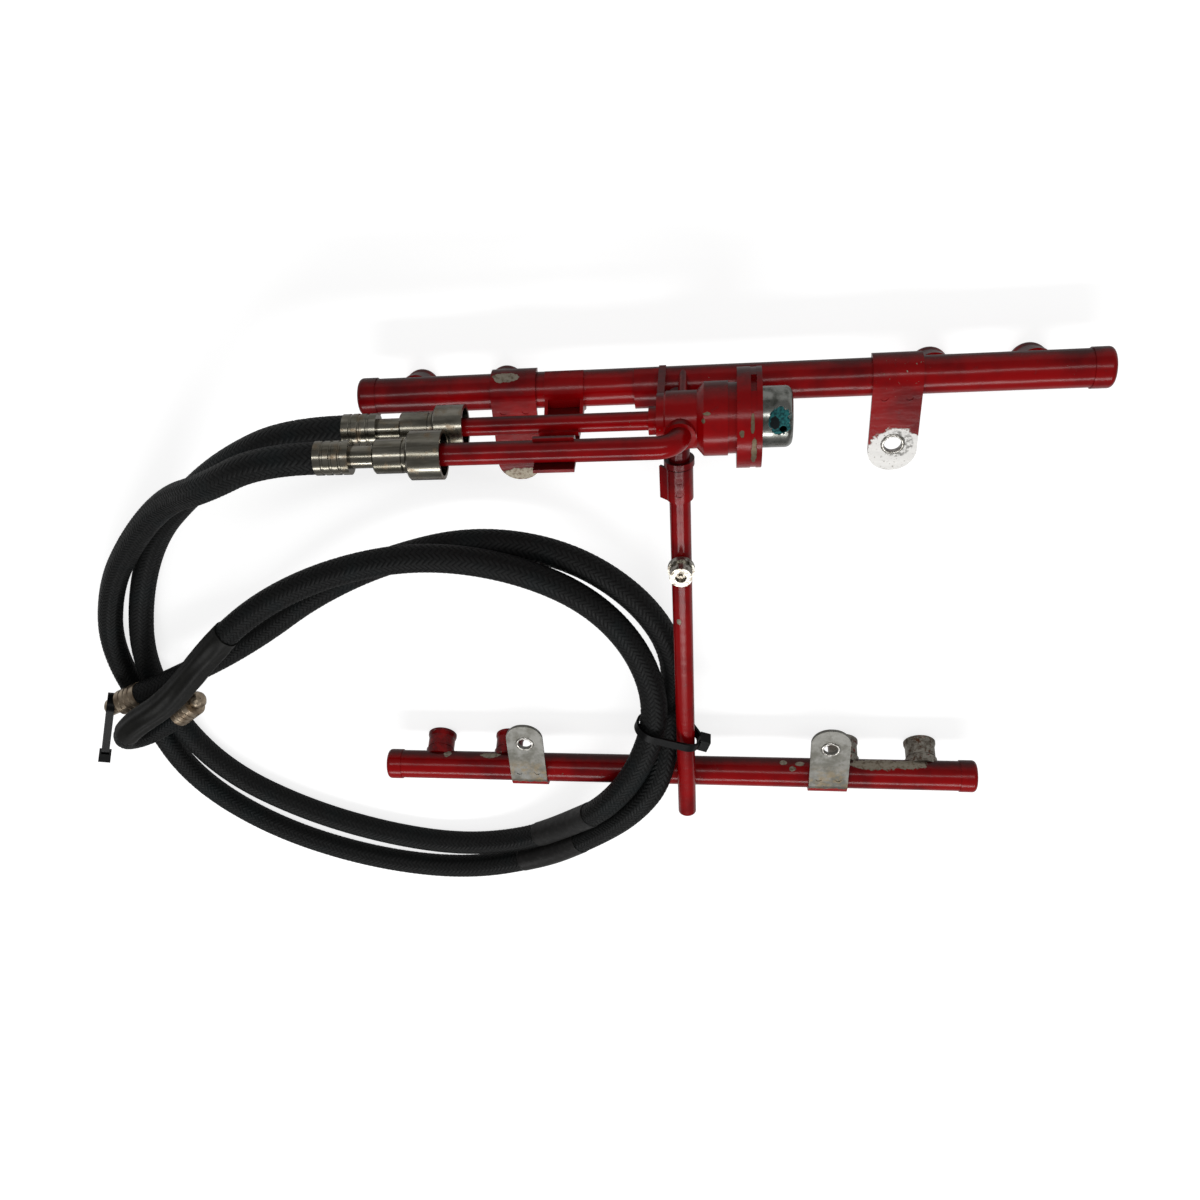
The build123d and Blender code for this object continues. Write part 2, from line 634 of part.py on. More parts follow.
def quick_collar(x0, length, outer, tube_od):
    """Release collar, open to the right around the tube."""
    points = [
        (x0, tube_od / 2),
        (x0, outer / 2 - LEAD_IN),
        (x0 + LEAD_IN, outer / 2),
        (x0 + length, outer / 2),
        (x0 + length, outer / 2 - COLLAR_WALL),
        (x0 + COLLAR_WALL, outer / 2 - COLLAR_WALL),
        (x0 + COLLAR_WALL, tube_od / 2),
    ]
    return turned(points)


for line, (z, start, tube_od, collar_od, collar_length) in LINES.items():
    axis = Pos(0, RAIL_Y, z)
    ferrule_start = NEAR_X + start
    neck_start = ferrule_start + FERRULE_LENGTH
    collar_start = neck_start + NECK_LENGTH + COUPLING_LENGTH + GROOVE_LENGTH
    nodes[f"{line}_hose_ferrule"] = axis * ferrule(ferrule_start)
    nodes[f"{line}_coupling_body"] = axis * coupling(neck_start, tube_od)
    nodes[f"{line}_coupling_collar"] = axis * quick_collar(collar_start, collar_length, collar_od, tube_od)
return_tube = pipe(collar_start - TUBE_SEAT, return_end, RETURN_OD, return_bore)
nodes["return_tube"] = return_axis * return_tube

# Line clip: saddle on the rail, a web beside the tubes, and a hook over each tube
web_y = -SUPPLY_OD / 2 - CLIP_SHEET / 2
clip_face = sector(RAIL_R, RAIL_R + CLIP_SHEET, 90 - CLIP_WRAP / 2, 90 + CLIP_WRAP / 2)
web_foot = RAIL_R - CLIP_SHEET / 2
web_top = SUPPLY_RISE + CLIP_LIP
clip_face += Pos(web_y, (web_foot + web_top) / 2) * Rectangle(CLIP_SHEET, web_top - web_foot)
clip_face += Pos(0, SUPPLY_RISE) * sector(SUPPLY_OD / 2, SUPPLY_OD / 2 + CLIP_SHEET, 180, 360)
clip_face += Pos(0, REGULATOR_RISE) * sector(RETURN_OD / 2, SUPPLY_OD / 2 + CLIP_SHEET / 2, 100, 260)
clip_face -= Circle(RAIL_R)
clip_x0 = NEAR_X + CLIP_START
clip_x1 = NEAR_X + CLIP_END
clip = pressed(clip_face, clip_x0, clip_x1)
gusset_face = make_face(
    Polyline(
        (web_y, RAIL_R + CLIP_SHEET / 2),
        (web_y, RAIL_R + GUSSET_HEIGHT),
        (web_y + GUSSET_DEPTH, RAIL_R + CLIP_SHEET / 2),
        close=True,
    )
)
clip += pressed(gusset_face, clip_x0, clip_x0 + CLIP_SHEET)
clip += pressed(gusset_face, clip_x1 - CLIP_SHEET, clip_x1)
nodes["line_clip"] = Pos(0, RAIL_Y, RAIL_Z) * clip

# Hoses: route points of the centre line, from the coupling to the free end
supply_start = NEAR_X + SUPPLY_FERRULE_START
return_start = NEAR_X + RETURN_FERRULE_START
SUPPLY_ROUTE = [
    (supply_start, RAIL_Y, SUPPLY_Z),
    (supply_start - HOSE_LEAD, RAIL_Y, SUPPLY_Z),
    (-214, 98, 64),
    (-247, 77, 39),
    (-281, 44, 23),
    (-311, 5, 12),
    (-329, -43, FLOOR),
    (-321, -94, FLOOR),
    (-308, -149, FLOOR),
    (-266, -192, FLOOR),
    (-207, -219, FLOOR),
    (-144, -225, 9),
    (-90, -204, 14),
    (-54, -169, 25),
    (-31, -135, 38),
    (-16, -110, 37),
    (-12, -82, 22),
    (-6, -42, 17),
    (-22, -2, 20),
    (-56, 29, 22),
    (-101, 40, 23),
    (-148, 29, 24),
    (-191, 7, 23),
    (-229, -22, 22),
    (-269, -46, 22),
    (-311, -66, 22),
]
RETURN_ROUTE = [
    (return_start, RAIL_Y, REGULATOR_Z),
    (return_start - HOSE_LEAD, RAIL_Y, REGULATOR_Z),
    (-207, 100, 42),
    (-242, 71, 24),
    (-276, 37, 10),
    (-299, -6, FLOOR),
    (-312, -54, FLOOR),
    (-305, -103, FLOOR),
    (-282, -145, FLOOR),
    (-241, -175, FLOOR),
    (-193, -195, FLOOR),
    (-145, -204, FLOOR),
    (-102, -193, 11),
    (-71, -166, 21),
    (-48, -135, 37),
    (-28, -102, 41),
    (-16, -67, 32),
    (-24, -30, 27),
    (-46, 6, 30),
    (-80, 32, 37),
    (-123, 42, 39),
    (-167, 34, 38),
    (-210, 15, 38),
    (-246, -13, 39),
    (-275, -47, 41),
    (-325, -82, 44),
    (-313, -97, 22.5),
    (-292, -81, 22.5),
]
BEND_SHARE = 0.45


def bend_radii(points):
    """Largest even bend at each corner: a share of the shorter run beside it."""
    radii = []
    for a, b, c in zip(points, points[1:], points[2:]):
        before = Vector(*b) - Vector(*a)
        after = Vector(*c) - Vector(*b)
        turn = math.radians(before.get_angle(after))
        radii.append(BEND_SHARE * min(before.length, after.length) / math.tan(turn / 2))
    return radii


def route_wire(points):
    return FilletPolyline(*points, radius=bend_radii(points))


def hose_tube(wire, outer, inner):
    start = Plane(origin=wire @ 0, z_dir=wire % 0)
    return sweep(start * (Circle(outer / 2) - Circle(inner / 2)), path=wire)


def run_plane(tail, head):
    """Frame at a hose's end, its X along the last run."""
    along = (Vector(*head) - Vector(*tail)).normalized()
    return Plane(origin=Vector(*head), x_dir=along, z_dir=along.cross(Vector(0, 0, 1)).cross(along))


wires = {"supply": route_wire(SUPPLY_ROUTE), "return": route_wire(RETURN_ROUTE)}
routes = {"supply": SUPPLY_ROUTE, "return": RETURN_ROUTE}
END_LENGTHS = {"supply": END_PIECE_LENGTH, "return": RETURN_END_LENGTH}
end_planes = {}
for line, wire in wires.items():
    nodes[f"{line}_hose"] = hose_tube(wire, HOSE_OD, HOSE_BORE)
    radii = bend_radii(routes[line])
    print(line, "hose length", round(wire.length), "bend radii", [round(r) for r in radii])
    area = math.pi / 4 * (HOSE_OD**2 - HOSE_BORE**2)
    print(line, "volume over section times length", round(nodes[f"{line}_hose"].volume / area / wire.length, 4))
    plane = run_plane(routes[line][-2], routes[line][-1])
    end_planes[line] = plane
    nodes[f"{line}_end_ferrule"] = plane.location * ferrule(0)
    r = END_PIECE_OD / 2
    neck_r = END_PIECE_NECK / 2
    end_start = FERRULE_LENGTH
    end_stop = end_start + END_NECK_LENGTH + END_LENGTHS[line]
    tip = r / 2
    end_piece = turned(
        [
            (end_start, 0),
            (end_start, neck_r),
            (end_start + END_NECK_LENGTH, neck_r),
            (end_start + END_NECK_LENGTH, r - LEAD_IN),
            (end_start + END_NECK_LENGTH + LEAD_IN, r),
            (end_stop - tip, r),
            (end_stop - tip / 3, r - tip / 2),
            (end_stop, r - tip - tip / 2),
            (end_stop, 0),
        ]
    )
    nodes[f"{line}_end_piece"] = plane.location * end_piece

# Sleeves on the hoses
sleeve_bore = HOSE_OD + 2 * SLEEVE_GAP
sleeve_od = sleeve_bore + 2 * SLEEVE_WALL
SLEEVES = {
    "supply_label_sleeve": ("supply", LABEL_SLEEVE_START, LABEL_SLEEVE_END),
    "return_plain_sleeve": ("return", PLAIN_SLEEVE_START, PLAIN_SLEEVE_END),
    "return_fold_sleeve": ("return", FOLD_SLEEVE_START, FOLD_SLEEVE_END),
}
for name, (line, start, end) in SLEEVES.items():
    nodes[name] = hose_tube(wires[line].trim(start, end), sleeve_od, sleeve_bore)



# Zip ties: a closed band drawn round the circles that it holds, with a square head
def tie_band(circles):
    inner = make_hull([e for x, y, r in circles for e in (Pos(x, y) * Circle(r)).edges()])
    outer = make_hull([e for x, y, r in circles for e in (Pos(x, y) * Circle(r + TIE_SHEET)).edges()])
    return extrude(outer - inner, amount=TIE_WIDTH / 2, both=True)


tie_plane = Plane(
    origin=(cross_x, TIE_Y, 0),
    x_dir=(math.cos(math.radians(TIE_TURN)), math.sin(math.radians(TIE_TURN)), 0),
    z_dir=(math.sin(math.radians(TIE_TURN)), -math.cos(math.radians(TIE_TURN)), 0),
)
hose_r = HOSE_OD / 2 + TIE_SLACK
cross_r = CROSS_OD / 2 + 2 * TIE_SLACK
tie = tie_band([(0, CROSS_Z, cross_r), (*TIE_SUPPLY, hose_r), (*TIE_RETURN, hose_r)])
head_x = -cross_r
head = Pos(head_x - TIE_HEAD_HEIGHT / 2, CROSS_Z, 0) * Box(TIE_HEAD_HEIGHT, TIE_HEAD, TIE_HEAD)
nodes["crossover_zip_tie"] = tie_plane.location * (tie + head)

end_along = end_planes["supply"].x_dir
end_neck = end_planes["supply"].origin + end_along * (FERRULE_LENGTH + END_TIE_REACH)
end_normal = Vector(*END_TIE_NORMAL).normalized()
end_run = Vector(*END_TIE_HEAD) - end_neck
end_run -= end_normal * end_run.dot(end_normal)
end_plane = Plane(origin=end_neck, x_dir=end_run, z_dir=end_normal)
lean = (end_along - end_normal * end_along.dot(end_normal)).normalized() * END_TIE_SPAN
lean_x = lean.dot(end_plane.x_dir)
lean_y = lean.dot(end_plane.y_dir)
end_tie = tie_band([(lean_x, lean_y, END_TIE_R), (-lean_x, -lean_y, END_TIE_R), (end_run.length, 0, TIE_SHEET)])
end_head = Pos(end_run.length + TIE_SHEET + TIE_HEAD_HEIGHT / 2, 0, 0) * Box(TIE_HEAD_HEIGHT, TIE_HEAD, TIE_HEAD)
nodes["hose_end_zip_tie"] = end_plane.location * (end_tie + end_head)

os.makedirs("parts", exist_ok=True)
for name, shape in nodes.items():
    export_step(shape, f"parts/{name}.step")
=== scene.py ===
import math

import bmesh
import bpy
from bpy.props import FloatProperty, FloatVectorProperty, IntProperty, PointerProperty
from mathutils import Matrix, Vector


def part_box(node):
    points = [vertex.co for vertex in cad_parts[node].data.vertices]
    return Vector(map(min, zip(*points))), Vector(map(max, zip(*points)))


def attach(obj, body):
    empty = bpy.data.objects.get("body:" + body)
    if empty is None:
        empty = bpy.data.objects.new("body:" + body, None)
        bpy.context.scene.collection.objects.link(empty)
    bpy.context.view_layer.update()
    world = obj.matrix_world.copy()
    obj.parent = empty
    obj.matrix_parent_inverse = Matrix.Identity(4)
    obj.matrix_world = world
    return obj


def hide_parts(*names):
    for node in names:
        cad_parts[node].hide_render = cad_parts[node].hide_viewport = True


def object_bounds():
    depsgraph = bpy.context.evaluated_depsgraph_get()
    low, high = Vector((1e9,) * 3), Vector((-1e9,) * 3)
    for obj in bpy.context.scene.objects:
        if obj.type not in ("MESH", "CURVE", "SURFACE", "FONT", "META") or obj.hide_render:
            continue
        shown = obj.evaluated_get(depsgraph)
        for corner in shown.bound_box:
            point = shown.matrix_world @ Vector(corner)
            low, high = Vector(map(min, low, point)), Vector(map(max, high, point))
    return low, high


bl_info = {
    "name": "Fuel rail assembly",
    "version": (1, 0, 0),
    "blender": (4, 5, 0),
    "location": "View3D > Sidebar > Fuel Rail",
    "description": "Dresses a fuel rail assembly: paint, worn steel, braided hoses and ties",
    "category": "Object",
}

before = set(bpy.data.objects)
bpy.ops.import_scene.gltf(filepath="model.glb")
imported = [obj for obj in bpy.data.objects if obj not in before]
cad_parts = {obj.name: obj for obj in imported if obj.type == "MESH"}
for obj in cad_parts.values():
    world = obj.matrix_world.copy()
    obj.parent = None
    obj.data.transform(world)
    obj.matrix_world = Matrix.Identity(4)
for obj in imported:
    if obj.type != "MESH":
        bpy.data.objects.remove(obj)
CAD_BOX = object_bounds()
BODY = "rail_assembly"

# Camera: its place, the way back from its view, and the way to the picture's top
CAMERA_PLACE = (0.014181, 0.378312, 0.508894)
CAMERA_BACK = (0.20298, 0.61590, 0.76123)
CAMERA_TOP = (0.0011, 0.7773, -0.6292)
SENSOR_WIDTH = 36.0
NEAREST_SEEN = 0.02

# Stage: the floor, the surroundings as the object and the camera see them, and the lamps
FLOOR_TONE = (0.42, 0.42, 0.42)
FLOOR_ROUGHNESS = 0.9
FLOOR_GAP = 0.0002
SKY_ON_OBJECT = 0.25
SKY_IN_VIEW = 1.0
LAMP_AIM = (-0.05, 0.0, 0.0)
LAMPS = (
    # name, place, length and breadth, power
    ("near_strip", (-0.05, 0.92, 1.20), (1.6, 0.20), 6.5),
    ("far_strip", (-0.05, -0.82, 1.16), (1.6, 0.24), 12.0),
)

# Hoses and their braid
HOSE_DIAMETER = 0.014
HOSE_RADIUS = HOSE_DIAMETER / 2
SUPPLY_LENGTH = 1.178
RETURN_LENGTH = 1.165
STRANDS_EACH_WAY = 16
BRAID_PITCH = 0.046
STRAND_RELIEF = 0.00035
RING_SPACING = 0.0008
JACKET_SIDES = 56
SPLINE_ORDER = 3
SPLINE_STEPS = 24

# Control points of the two hoses' centre lines, from coupling to free end, in metres
SUPPLY_ROUTE = [
    (-0.152825, 0.1185, 0.074337),
    (-0.178825, 0.1185, 0.074337),
    (-0.214, 0.098, 0.064),
    (-0.247, 0.077, 0.039),
    (-0.281, 0.044, 0.023),
    (-0.311, 0.005, 0.012),
    (-0.329, -0.043, 0.007),
    (-0.321, -0.094, 0.007),
    (-0.308, -0.149, 0.007),
    (-0.266, -0.192, 0.007),
    (-0.207, -0.219, 0.007),
    (-0.144, -0.225, 0.009),
    (-0.090, -0.204, 0.014),
    (-0.054, -0.169, 0.025),
    (-0.031, -0.135, 0.038),
    (-0.016, -0.110, 0.037),
    (-0.012, -0.082, 0.022),
    (-0.006, -0.042, 0.017),
    (-0.022, -0.002, 0.020),
    (-0.056, 0.029, 0.022),
    (-0.101, 0.040, 0.023),
    (-0.148, 0.029, 0.024),
    (-0.191, 0.007, 0.023),
    (-0.229, -0.022, 0.022),
    (-0.269, -0.046, 0.022),
    (-0.311, -0.066, 0.022),
]
RETURN_ROUTE = [
    (-0.145525, 0.1185, 0.052137),
    (-0.171525, 0.1185, 0.052137),
    (-0.207, 0.100, 0.042),
    (-0.242, 0.071, 0.024),
    (-0.276, 0.037, 0.010),
    (-0.299, -0.006, 0.007),
    (-0.312, -0.054, 0.007),
    (-0.305, -0.103, 0.007),
    (-0.282, -0.145, 0.007),
    (-0.241, -0.175, 0.007),
    (-0.193, -0.195, 0.007),
    (-0.145, -0.204, 0.007),
    (-0.102, -0.193, 0.011),
    (-0.071, -0.166, 0.021),
    (-0.048, -0.135, 0.037),
    (-0.028, -0.102, 0.041),
    (-0.016, -0.067, 0.032),
    (-0.024, -0.030, 0.027),
    (-0.046, 0.006, 0.030),
    (-0.080, 0.032, 0.037),
    (-0.123, 0.042, 0.039),
    (-0.167, 0.034, 0.038),
    (-0.210, 0.015, 0.038),
    (-0.246, -0.013, 0.039),
    (-0.275, -0.047, 0.041),
    (-0.325, -0.082, 0.044),
    (-0.313, -0.097, 0.0225),
    (-0.292, -0.081, 0.0225),
]

# Stretches of each hose that a sleeve covers, as shares of its length
LABEL_SLEEVE = (0.509, 0.551)
PLAIN_SLEEVE = (0.489, 0.536)
FOLD_SLEEVE = (0.866, 0.957)

# Each hose's route, length and sleeves, and its ties
HOSES = {
    "supply": (SUPPLY_ROUTE, SUPPLY_LENGTH, {
        "supply_label_sleeve": LABEL_SLEEVE,
    }, ["hose_end_zip_tie"]),
    "return": (RETURN_ROUTE, RETURN_LENGTH, {
        "return_plain_sleeve": PLAIN_SLEEVE,
        "return_fold_sleeve": FOLD_SLEEVE,
    }, []),
}
# Sleeves that lie further on than their solids: the jacket stands for the solid
MOVED_SLEEVES = {"supply": "supply_label_sleeve", "return": "return_plain_sleeve"}

# Mesh of a sleeve, how far it stands off the hose, and the ripples or creases in it
SLEEVE_SIDES = 48
SLEEVE_STEP = 0.0007
SLEEVE_WALL = 0.0003
SLEEVE_RIPPLE = 0.00006
SLEEVE_LIP = 0.0001
FOLD_WALL = 0.00060
CREASE_DEPTH = 0.00042
CREASE_FADE_RINGS = 14

# Rims pressed up round bolt holes: the hole's distance from the tab's tip, and the rim's section
RIMMED_BRACKETS = ("near_mounting_bracket_2", "far_mounting_bracket_1", "far_mounting_bracket_2")
HOLE_FROM_TIP = 0.0128
RIM_SIDES = 64
RIM_PROFILE = [
    (0.00362, -0.0002), (0.00362, 0.00042), (0.00385, 0.00062),
    (0.00430, 0.00060), (0.00480, 0.00030), (0.00510, -0.0002),
]

RED_NODES = [
    name
    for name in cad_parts
    if name.endswith(("rail_tube", "joint"))
    or "_end_cap_" in name
    or "injector_cup" in name
    or "mounting_bracket" in name
    or name.startswith(("crossover_tube", "crossover_saddle", "crossover_collar", "regulator_"))
    or name in ("crossover_end_plug", "crossover_near_plug", "supply_boss", "supply_tube")
    or name in ("return_tube", "return_tube_ring", "drain_stub", "line_clip")
]
ZINC_NODES = ["far_mounting_bracket_1", "far_mounting_bracket_2"]
STEEL_NODES = [
    f"{line}_{part}"
    for line in ("supply", "return")
    for part in ("hose_ferrule", "coupling_body", "coupling_collar")
]
TAN_NODES = ["supply_end_ferrule", "supply_end_piece", "return_end_ferrule", "return_end_piece"]
TIE_NODES = ["crossover_zip_tie", "hose_end_zip_tie"]
# Share of the paint that is worn off each of these cups
CUP_WEAR = {
    "far_injector_cup_1": 0.95,
    "far_injector_cup_2": 0.80,
    "far_injector_cup_3": 0.25,
    "far_injector_cup_4": 0.20,
}


class FuelRailPaint(bpy.types.PropertyGroup):
    # Lit and shaded copies of the paint red: the shaded one is painted shade, mixed in random
    # patches
    light: FloatVectorProperty(
        name="Paint, lit", description="Lit copy of the paint red, also its plain red",
        subtype="COLOR", size=3, min=0.0, max=1.0, default=(0.282, 0.0008, 0.0020),
    )
    dark: FloatVectorProperty(
        name="Paint, shaded", description="Shaded copy of the paint red, painted shade in random patches",
        subtype="COLOR", size=3, min=0.0, max=1.0, default=(0.108, 0.0006, 0.0022),
    )
    # Dark brown laid on the side away from the lamps: painted shade with some dust
    dust: FloatVectorProperty(
        name="Shade and dust", description="Dark brown of the side away from the lamps: painted shade with some dust",
        subtype="COLOR", size=3, min=0.0, max=1.0, default=(0.015, 0.0038, 0.0030),
    )
    bare: FloatVectorProperty(
        name="Bare metal", description="Colour where the paint has come off",
        subtype="COLOR", size=3, min=0.0, max=1.0, default=(0.31, 0.275, 0.215),
    )
    chip_size: FloatProperty(
        name="Chip size", description="Breadth of a small paint chip",
        subtype="DISTANCE", unit="LENGTH", min=0.0002, max=0.01, default=0.0013, precision=4,
    )


class FuelRailMetal(bpy.types.PropertyGroup):
    steel: FloatVectorProperty(
        name="Steel", description="Colour of the turned steel fittings",
        subtype="COLOR", size=3, min=0.0, max=1.0, default=(0.27, 0.255, 0.215),
    )
    stain: FloatVectorProperty(
        name="Stain", description="Tan stain on the fittings",
        subtype="COLOR", size=3, min=0.0, max=1.0, default=(0.17, 0.115, 0.065),
    )
    verdigris: FloatVectorProperty(
        name="Verdigris", description="Blue-green corrosion on the regulator's capsule",
        subtype="COLOR", size=3, min=0.0, max=1.0, default=(0.020, 0.155, 0.160),
    )


class FuelRailHose(bpy.types.PropertyGroup):
    carriers: IntProperty(
        name="Strands each way", description="Strands that run round the jacket in each direction",
        min=8, max=48, default=STRANDS_EACH_WAY,
    )
    pitch: FloatProperty(
        name="Braid pitch", description="Length of hose in which a strand goes once round",
        subtype="DISTANCE", unit="LENGTH", min=0.01, max=0.2, default=BRAID_PITCH,
    )
    relief: FloatProperty(
        name="Strand relief", description="Height of a strand over the gap beside it",
        subtype="DISTANCE", unit="LENGTH", min=0.0, max=0.001, default=STRAND_RELIEF, precision=5,
    )
    ring_spacing: FloatProperty(
        name="Ring spacing", description="Distance between the mesh rings along the hose",
        subtype="DISTANCE", unit="LENGTH", min=0.0003, max=0.005, default=RING_SPACING, precision=5,
    )
    sides: IntProperty(
        name="Sides", description="Mesh points round the hose",
        min=12, max=96, default=JACKET_SIDES,
    )
    yarn: FloatVectorProperty(
        name="Yarn", description="Black of the braid's yarn",
        subtype="COLOR", size=3, min=0.0, max=1.0, default=(0.0046, 0.0050, 0.0050),
    )


class FuelRailStage(bpy.types.PropertyGroup):
    lens: FloatProperty(
        name="Lens", description="Focal length in millimetres", min=10.0, max=200.0, default=36.98,
    )
    shift: FloatVectorProperty(
        name="Shift", description="Shift of the camera's frame", size=2, default=(0.1148, 0.0215),
    )
    floor_size: FloatProperty(
        name="Floor", description="Half the side of the floor",
        subtype="DISTANCE", unit="LENGTH", min=0.5, max=20.0, default=4.0,
    )
    floor_glow: FloatProperty(
        name="Floor glow", description="Light that whitens the floor for the camera alone",
        min=0.0, max=1.0, default=0.78,
    )
    mirrored_glow: FloatProperty(
        name="Mirrored glow", description="The same light as the metal mirrors it",
        min=0.0, max=1.0, default=0.24,
    )


def set_socket(tree, socket, value):
    """Links a socket to an input, or writes a number, vector, colour or word into it."""
    if isinstance(value, bpy.types.NodeSocket):
        tree.links.new(value, socket)
    elif socket.type == "RGBA":
        socket.default_value = (*value[:3], 1.0)
    else:
        socket.default_value = value


def add_node(tree, kind, inputs=(), **settings):
    """Adds a node, sets its options, and fills its inputs by name or number."""
    node = tree.nodes.new(kind)
    for key, value in settings.items():
        setattr(node, key, value)
    for key, value in dict(inputs).items():
        set_socket(tree, node.inputs[key], value)
    return node


def find_node(tree, kind):
    """The first node of a kind, such as the one a new material starts with."""
    return next(node for node in tree.nodes if node.type == kind)


class Finish:
    """A material and short ways to wire its nodes. An input is a socket, a number or a colour."""

    def __init__(self, name):
        self.material = bpy.data.materials.new(name)
        self.material.use_nodes = True
        self.tree = self.material.node_tree
        self.shader = find_node(self.tree, "BSDF_PRINCIPLED")
        self.place = self.add("ShaderNodeTexCoord").outputs["Object"]

    def add(self, kind, inputs=(), **settings):
        return add_node(self.tree, kind, inputs, **settings)

    def set(self, socket, value):
        set_socket(self.tree, socket, value)

    def math(self, operation, a, b=0.0, c=0.0, clamp=False):
        inputs = {0: a, 1: b, 2: c}
        return self.add("ShaderNodeMath", inputs, operation=operation, use_clamp=clamp).outputs[0]

    def vector(self, operation, a, b=(0.0, 0.0, 0.0)):
        node = self.add("ShaderNodeVectorMath", {0: a, 1: b}, operation=operation)
        return node.outputs["Value" if operation in ("LENGTH", "DOT_PRODUCT") else "Vector"]

    def noise(self, size, detail=2.0, rough=0.5, place=None, seed=0.0):
        """Noise whose features are about this many metres across."""
        moved = self.vector("ADD", self.place if place is None else place, (seed, seed, seed))
        inputs = {"Vector": moved, "Scale": 1.0 / size, "Detail": detail, "Roughness": rough}
        return self.add("ShaderNodeTexNoise", inputs).outputs["Fac"]

    def axis(self, name):
        """The place along X, Y or Z, in metres."""
        return self.add("ShaderNodeSeparateXYZ", {0: self.place}).outputs[name]

    def squeezed(self, scale):
        """The place squeezed along the axes, which draws a noise out along the small ones."""
        node = self.add("ShaderNodeMapping", {"Vector": self.place, "Scale": scale})
        return node.outputs["Vector"]

    def step(self, value, low, high):
        """0 below low, 1 above high, smooth between."""
        inputs = {"Value": value, "From Min": low, "From Max": high}
        node = self.add("ShaderNodeMapRange", inputs, interpolation_type="SMOOTHSTEP")
        return node.outputs["Result"]

    def mix(self, share, a, b):
        """A colour between two: 6, 7 and output 2 are the Mix node's colour sockets."""
        return self.add("ShaderNodeMix", {"Factor": share, 6: a, 7: b}, data_type="RGBA").outputs[2]

    def most(self, *values):
        result = values[0]
        for value in values[1:]:
            result = self.math("MAXIMUM", result, value)
        return result

    def blot(self, centre, reach, ragged):
        """Mask of one spot: an ellipsoid about a point, its edge made ragged by a noise about 0."""
        away = self.vector("SUBTRACT", self.place, centre)
        scaled = self.vector("MULTIPLY", away, tuple(1.0 / r for r in reach))
        size = self.math("MULTIPLY_ADD", ragged, 1.3, self.vector("LENGTH", scaled))
        return self.step(size, 1.05, 0.95)

    def bump(self, height, distance, strength=1.0, normal=None):
        inputs = {"Height": height, "Distance": distance, "Strength": strength}
        if normal is not None:
            inputs["Normal"] = normal
        return self.add("ShaderNodeBump", inputs).outputs["Normal"]

    def wear(self, **inputs):
        """Sets the shader's own sockets and gives the material back."""
        for key, value in inputs.items():
            self.set(self.shader.inputs[key.replace("_", " ")], value)
        return self.material


# Places on the painted parts where the metal shows: centre and reach, in metres
BARE_SPOTS = [
    ((0.0975, -0.1105, 0.0217), (0.0130, 0.0020, 0.0046)),
    ((0.1110, -0.1106, 0.0214), (0.0110, 0.0016, 0.0036)),
    ((0.0487, -0.1107, 0.0222), (0.0020, 0.0012, 0.0016)),
    ((0.0572, -0.1107, 0.0228), (0.0022, 0.0012, 0.0016)),
    ((0.0532, -0.1118, 0.0255), (0.0018, 0.0012, 0.0016)),
    ((-0.1368, -0.1107, 0.0199), (0.0022, 0.0014, 0.0026)),
    ((-0.1122, -0.1106, 0.0210), (0.0058, 0.0010, 0.0022)),
    ((-0.0772, 0.1276, 0.0257), (0.0060, 0.0026, 0.0026)),
    ((-0.0733, 0.0815, 0.0305), (0.0105, 0.0030, 0.0030)),
    ((0.0284, 0.1130, 0.0715), (0.0011, 0.0075, 0.0060)),
    ((0.0278, 0.1260, 0.0700), (0.0008, 0.0040, 0.0040)),
    ((0.0237, 0.1225, 0.0722), (0.0010, 0.0014, 0.0016)),
    ((0.0085, 0.1252, 0.0656), (0.0009, 0.0011, 0.0013)),
    ((0.0100, 0.1275, 0.0640), (0.0016, 0.0007, 0.0010)),
    ((-0.0041, 0.0001, 0.0387), (0.0010, 0.0018, 0.0014)),
]
# The near right bracket is bare round its hole
BARE_END = ((0.0886, 0.0850, 0.0310), (0.0125, 0.0142, 0.0040))
# The side that faces the picture's top and away from the lamps, seen from the painted parts, where
# they get painted shade with some dust
SHADED_SIDE = (0.0, 0.80, -0.60)
# The bolt hole with a scar round it, and where the scar ends and is full
SCARRED_HOLE = (0.0893, 0.0913, 0.0)
SCAR_REACH = (0.0068, 0.0058)
# Heights between which bare metal turns brown, on the regulator
BROWN_FROM, BROWN_ABOVE = 0.050, 0.058
# Heights on the service valve between which its red foot turns to bare metal
FOOT_TOP, BARE_ABOVE = 0.0405, 0.0413
# Depths along Y on the far brackets: where the tan starts and is full, and where the paint starts
TAN_FROM, TAN_FULL = -0.1010, -0.1140
PAINT_FROM, PAINT_FULL = -0.1184, -0.1190
# Spots on the regulator's capsule: centre and reach
GREEN_SPOT = ((0.0386, 0.1228, 0.0640), (0.0045, 0.0056, 0.0056))
DARK_SPOT = ((0.0366, 0.1222, 0.0645), (0.0018, 0.0026, 0.0030))
CRUSTY_SPOT = ((0.0345, 0.1160, 0.0620), (0.0030, 0.0014, 0.0016))

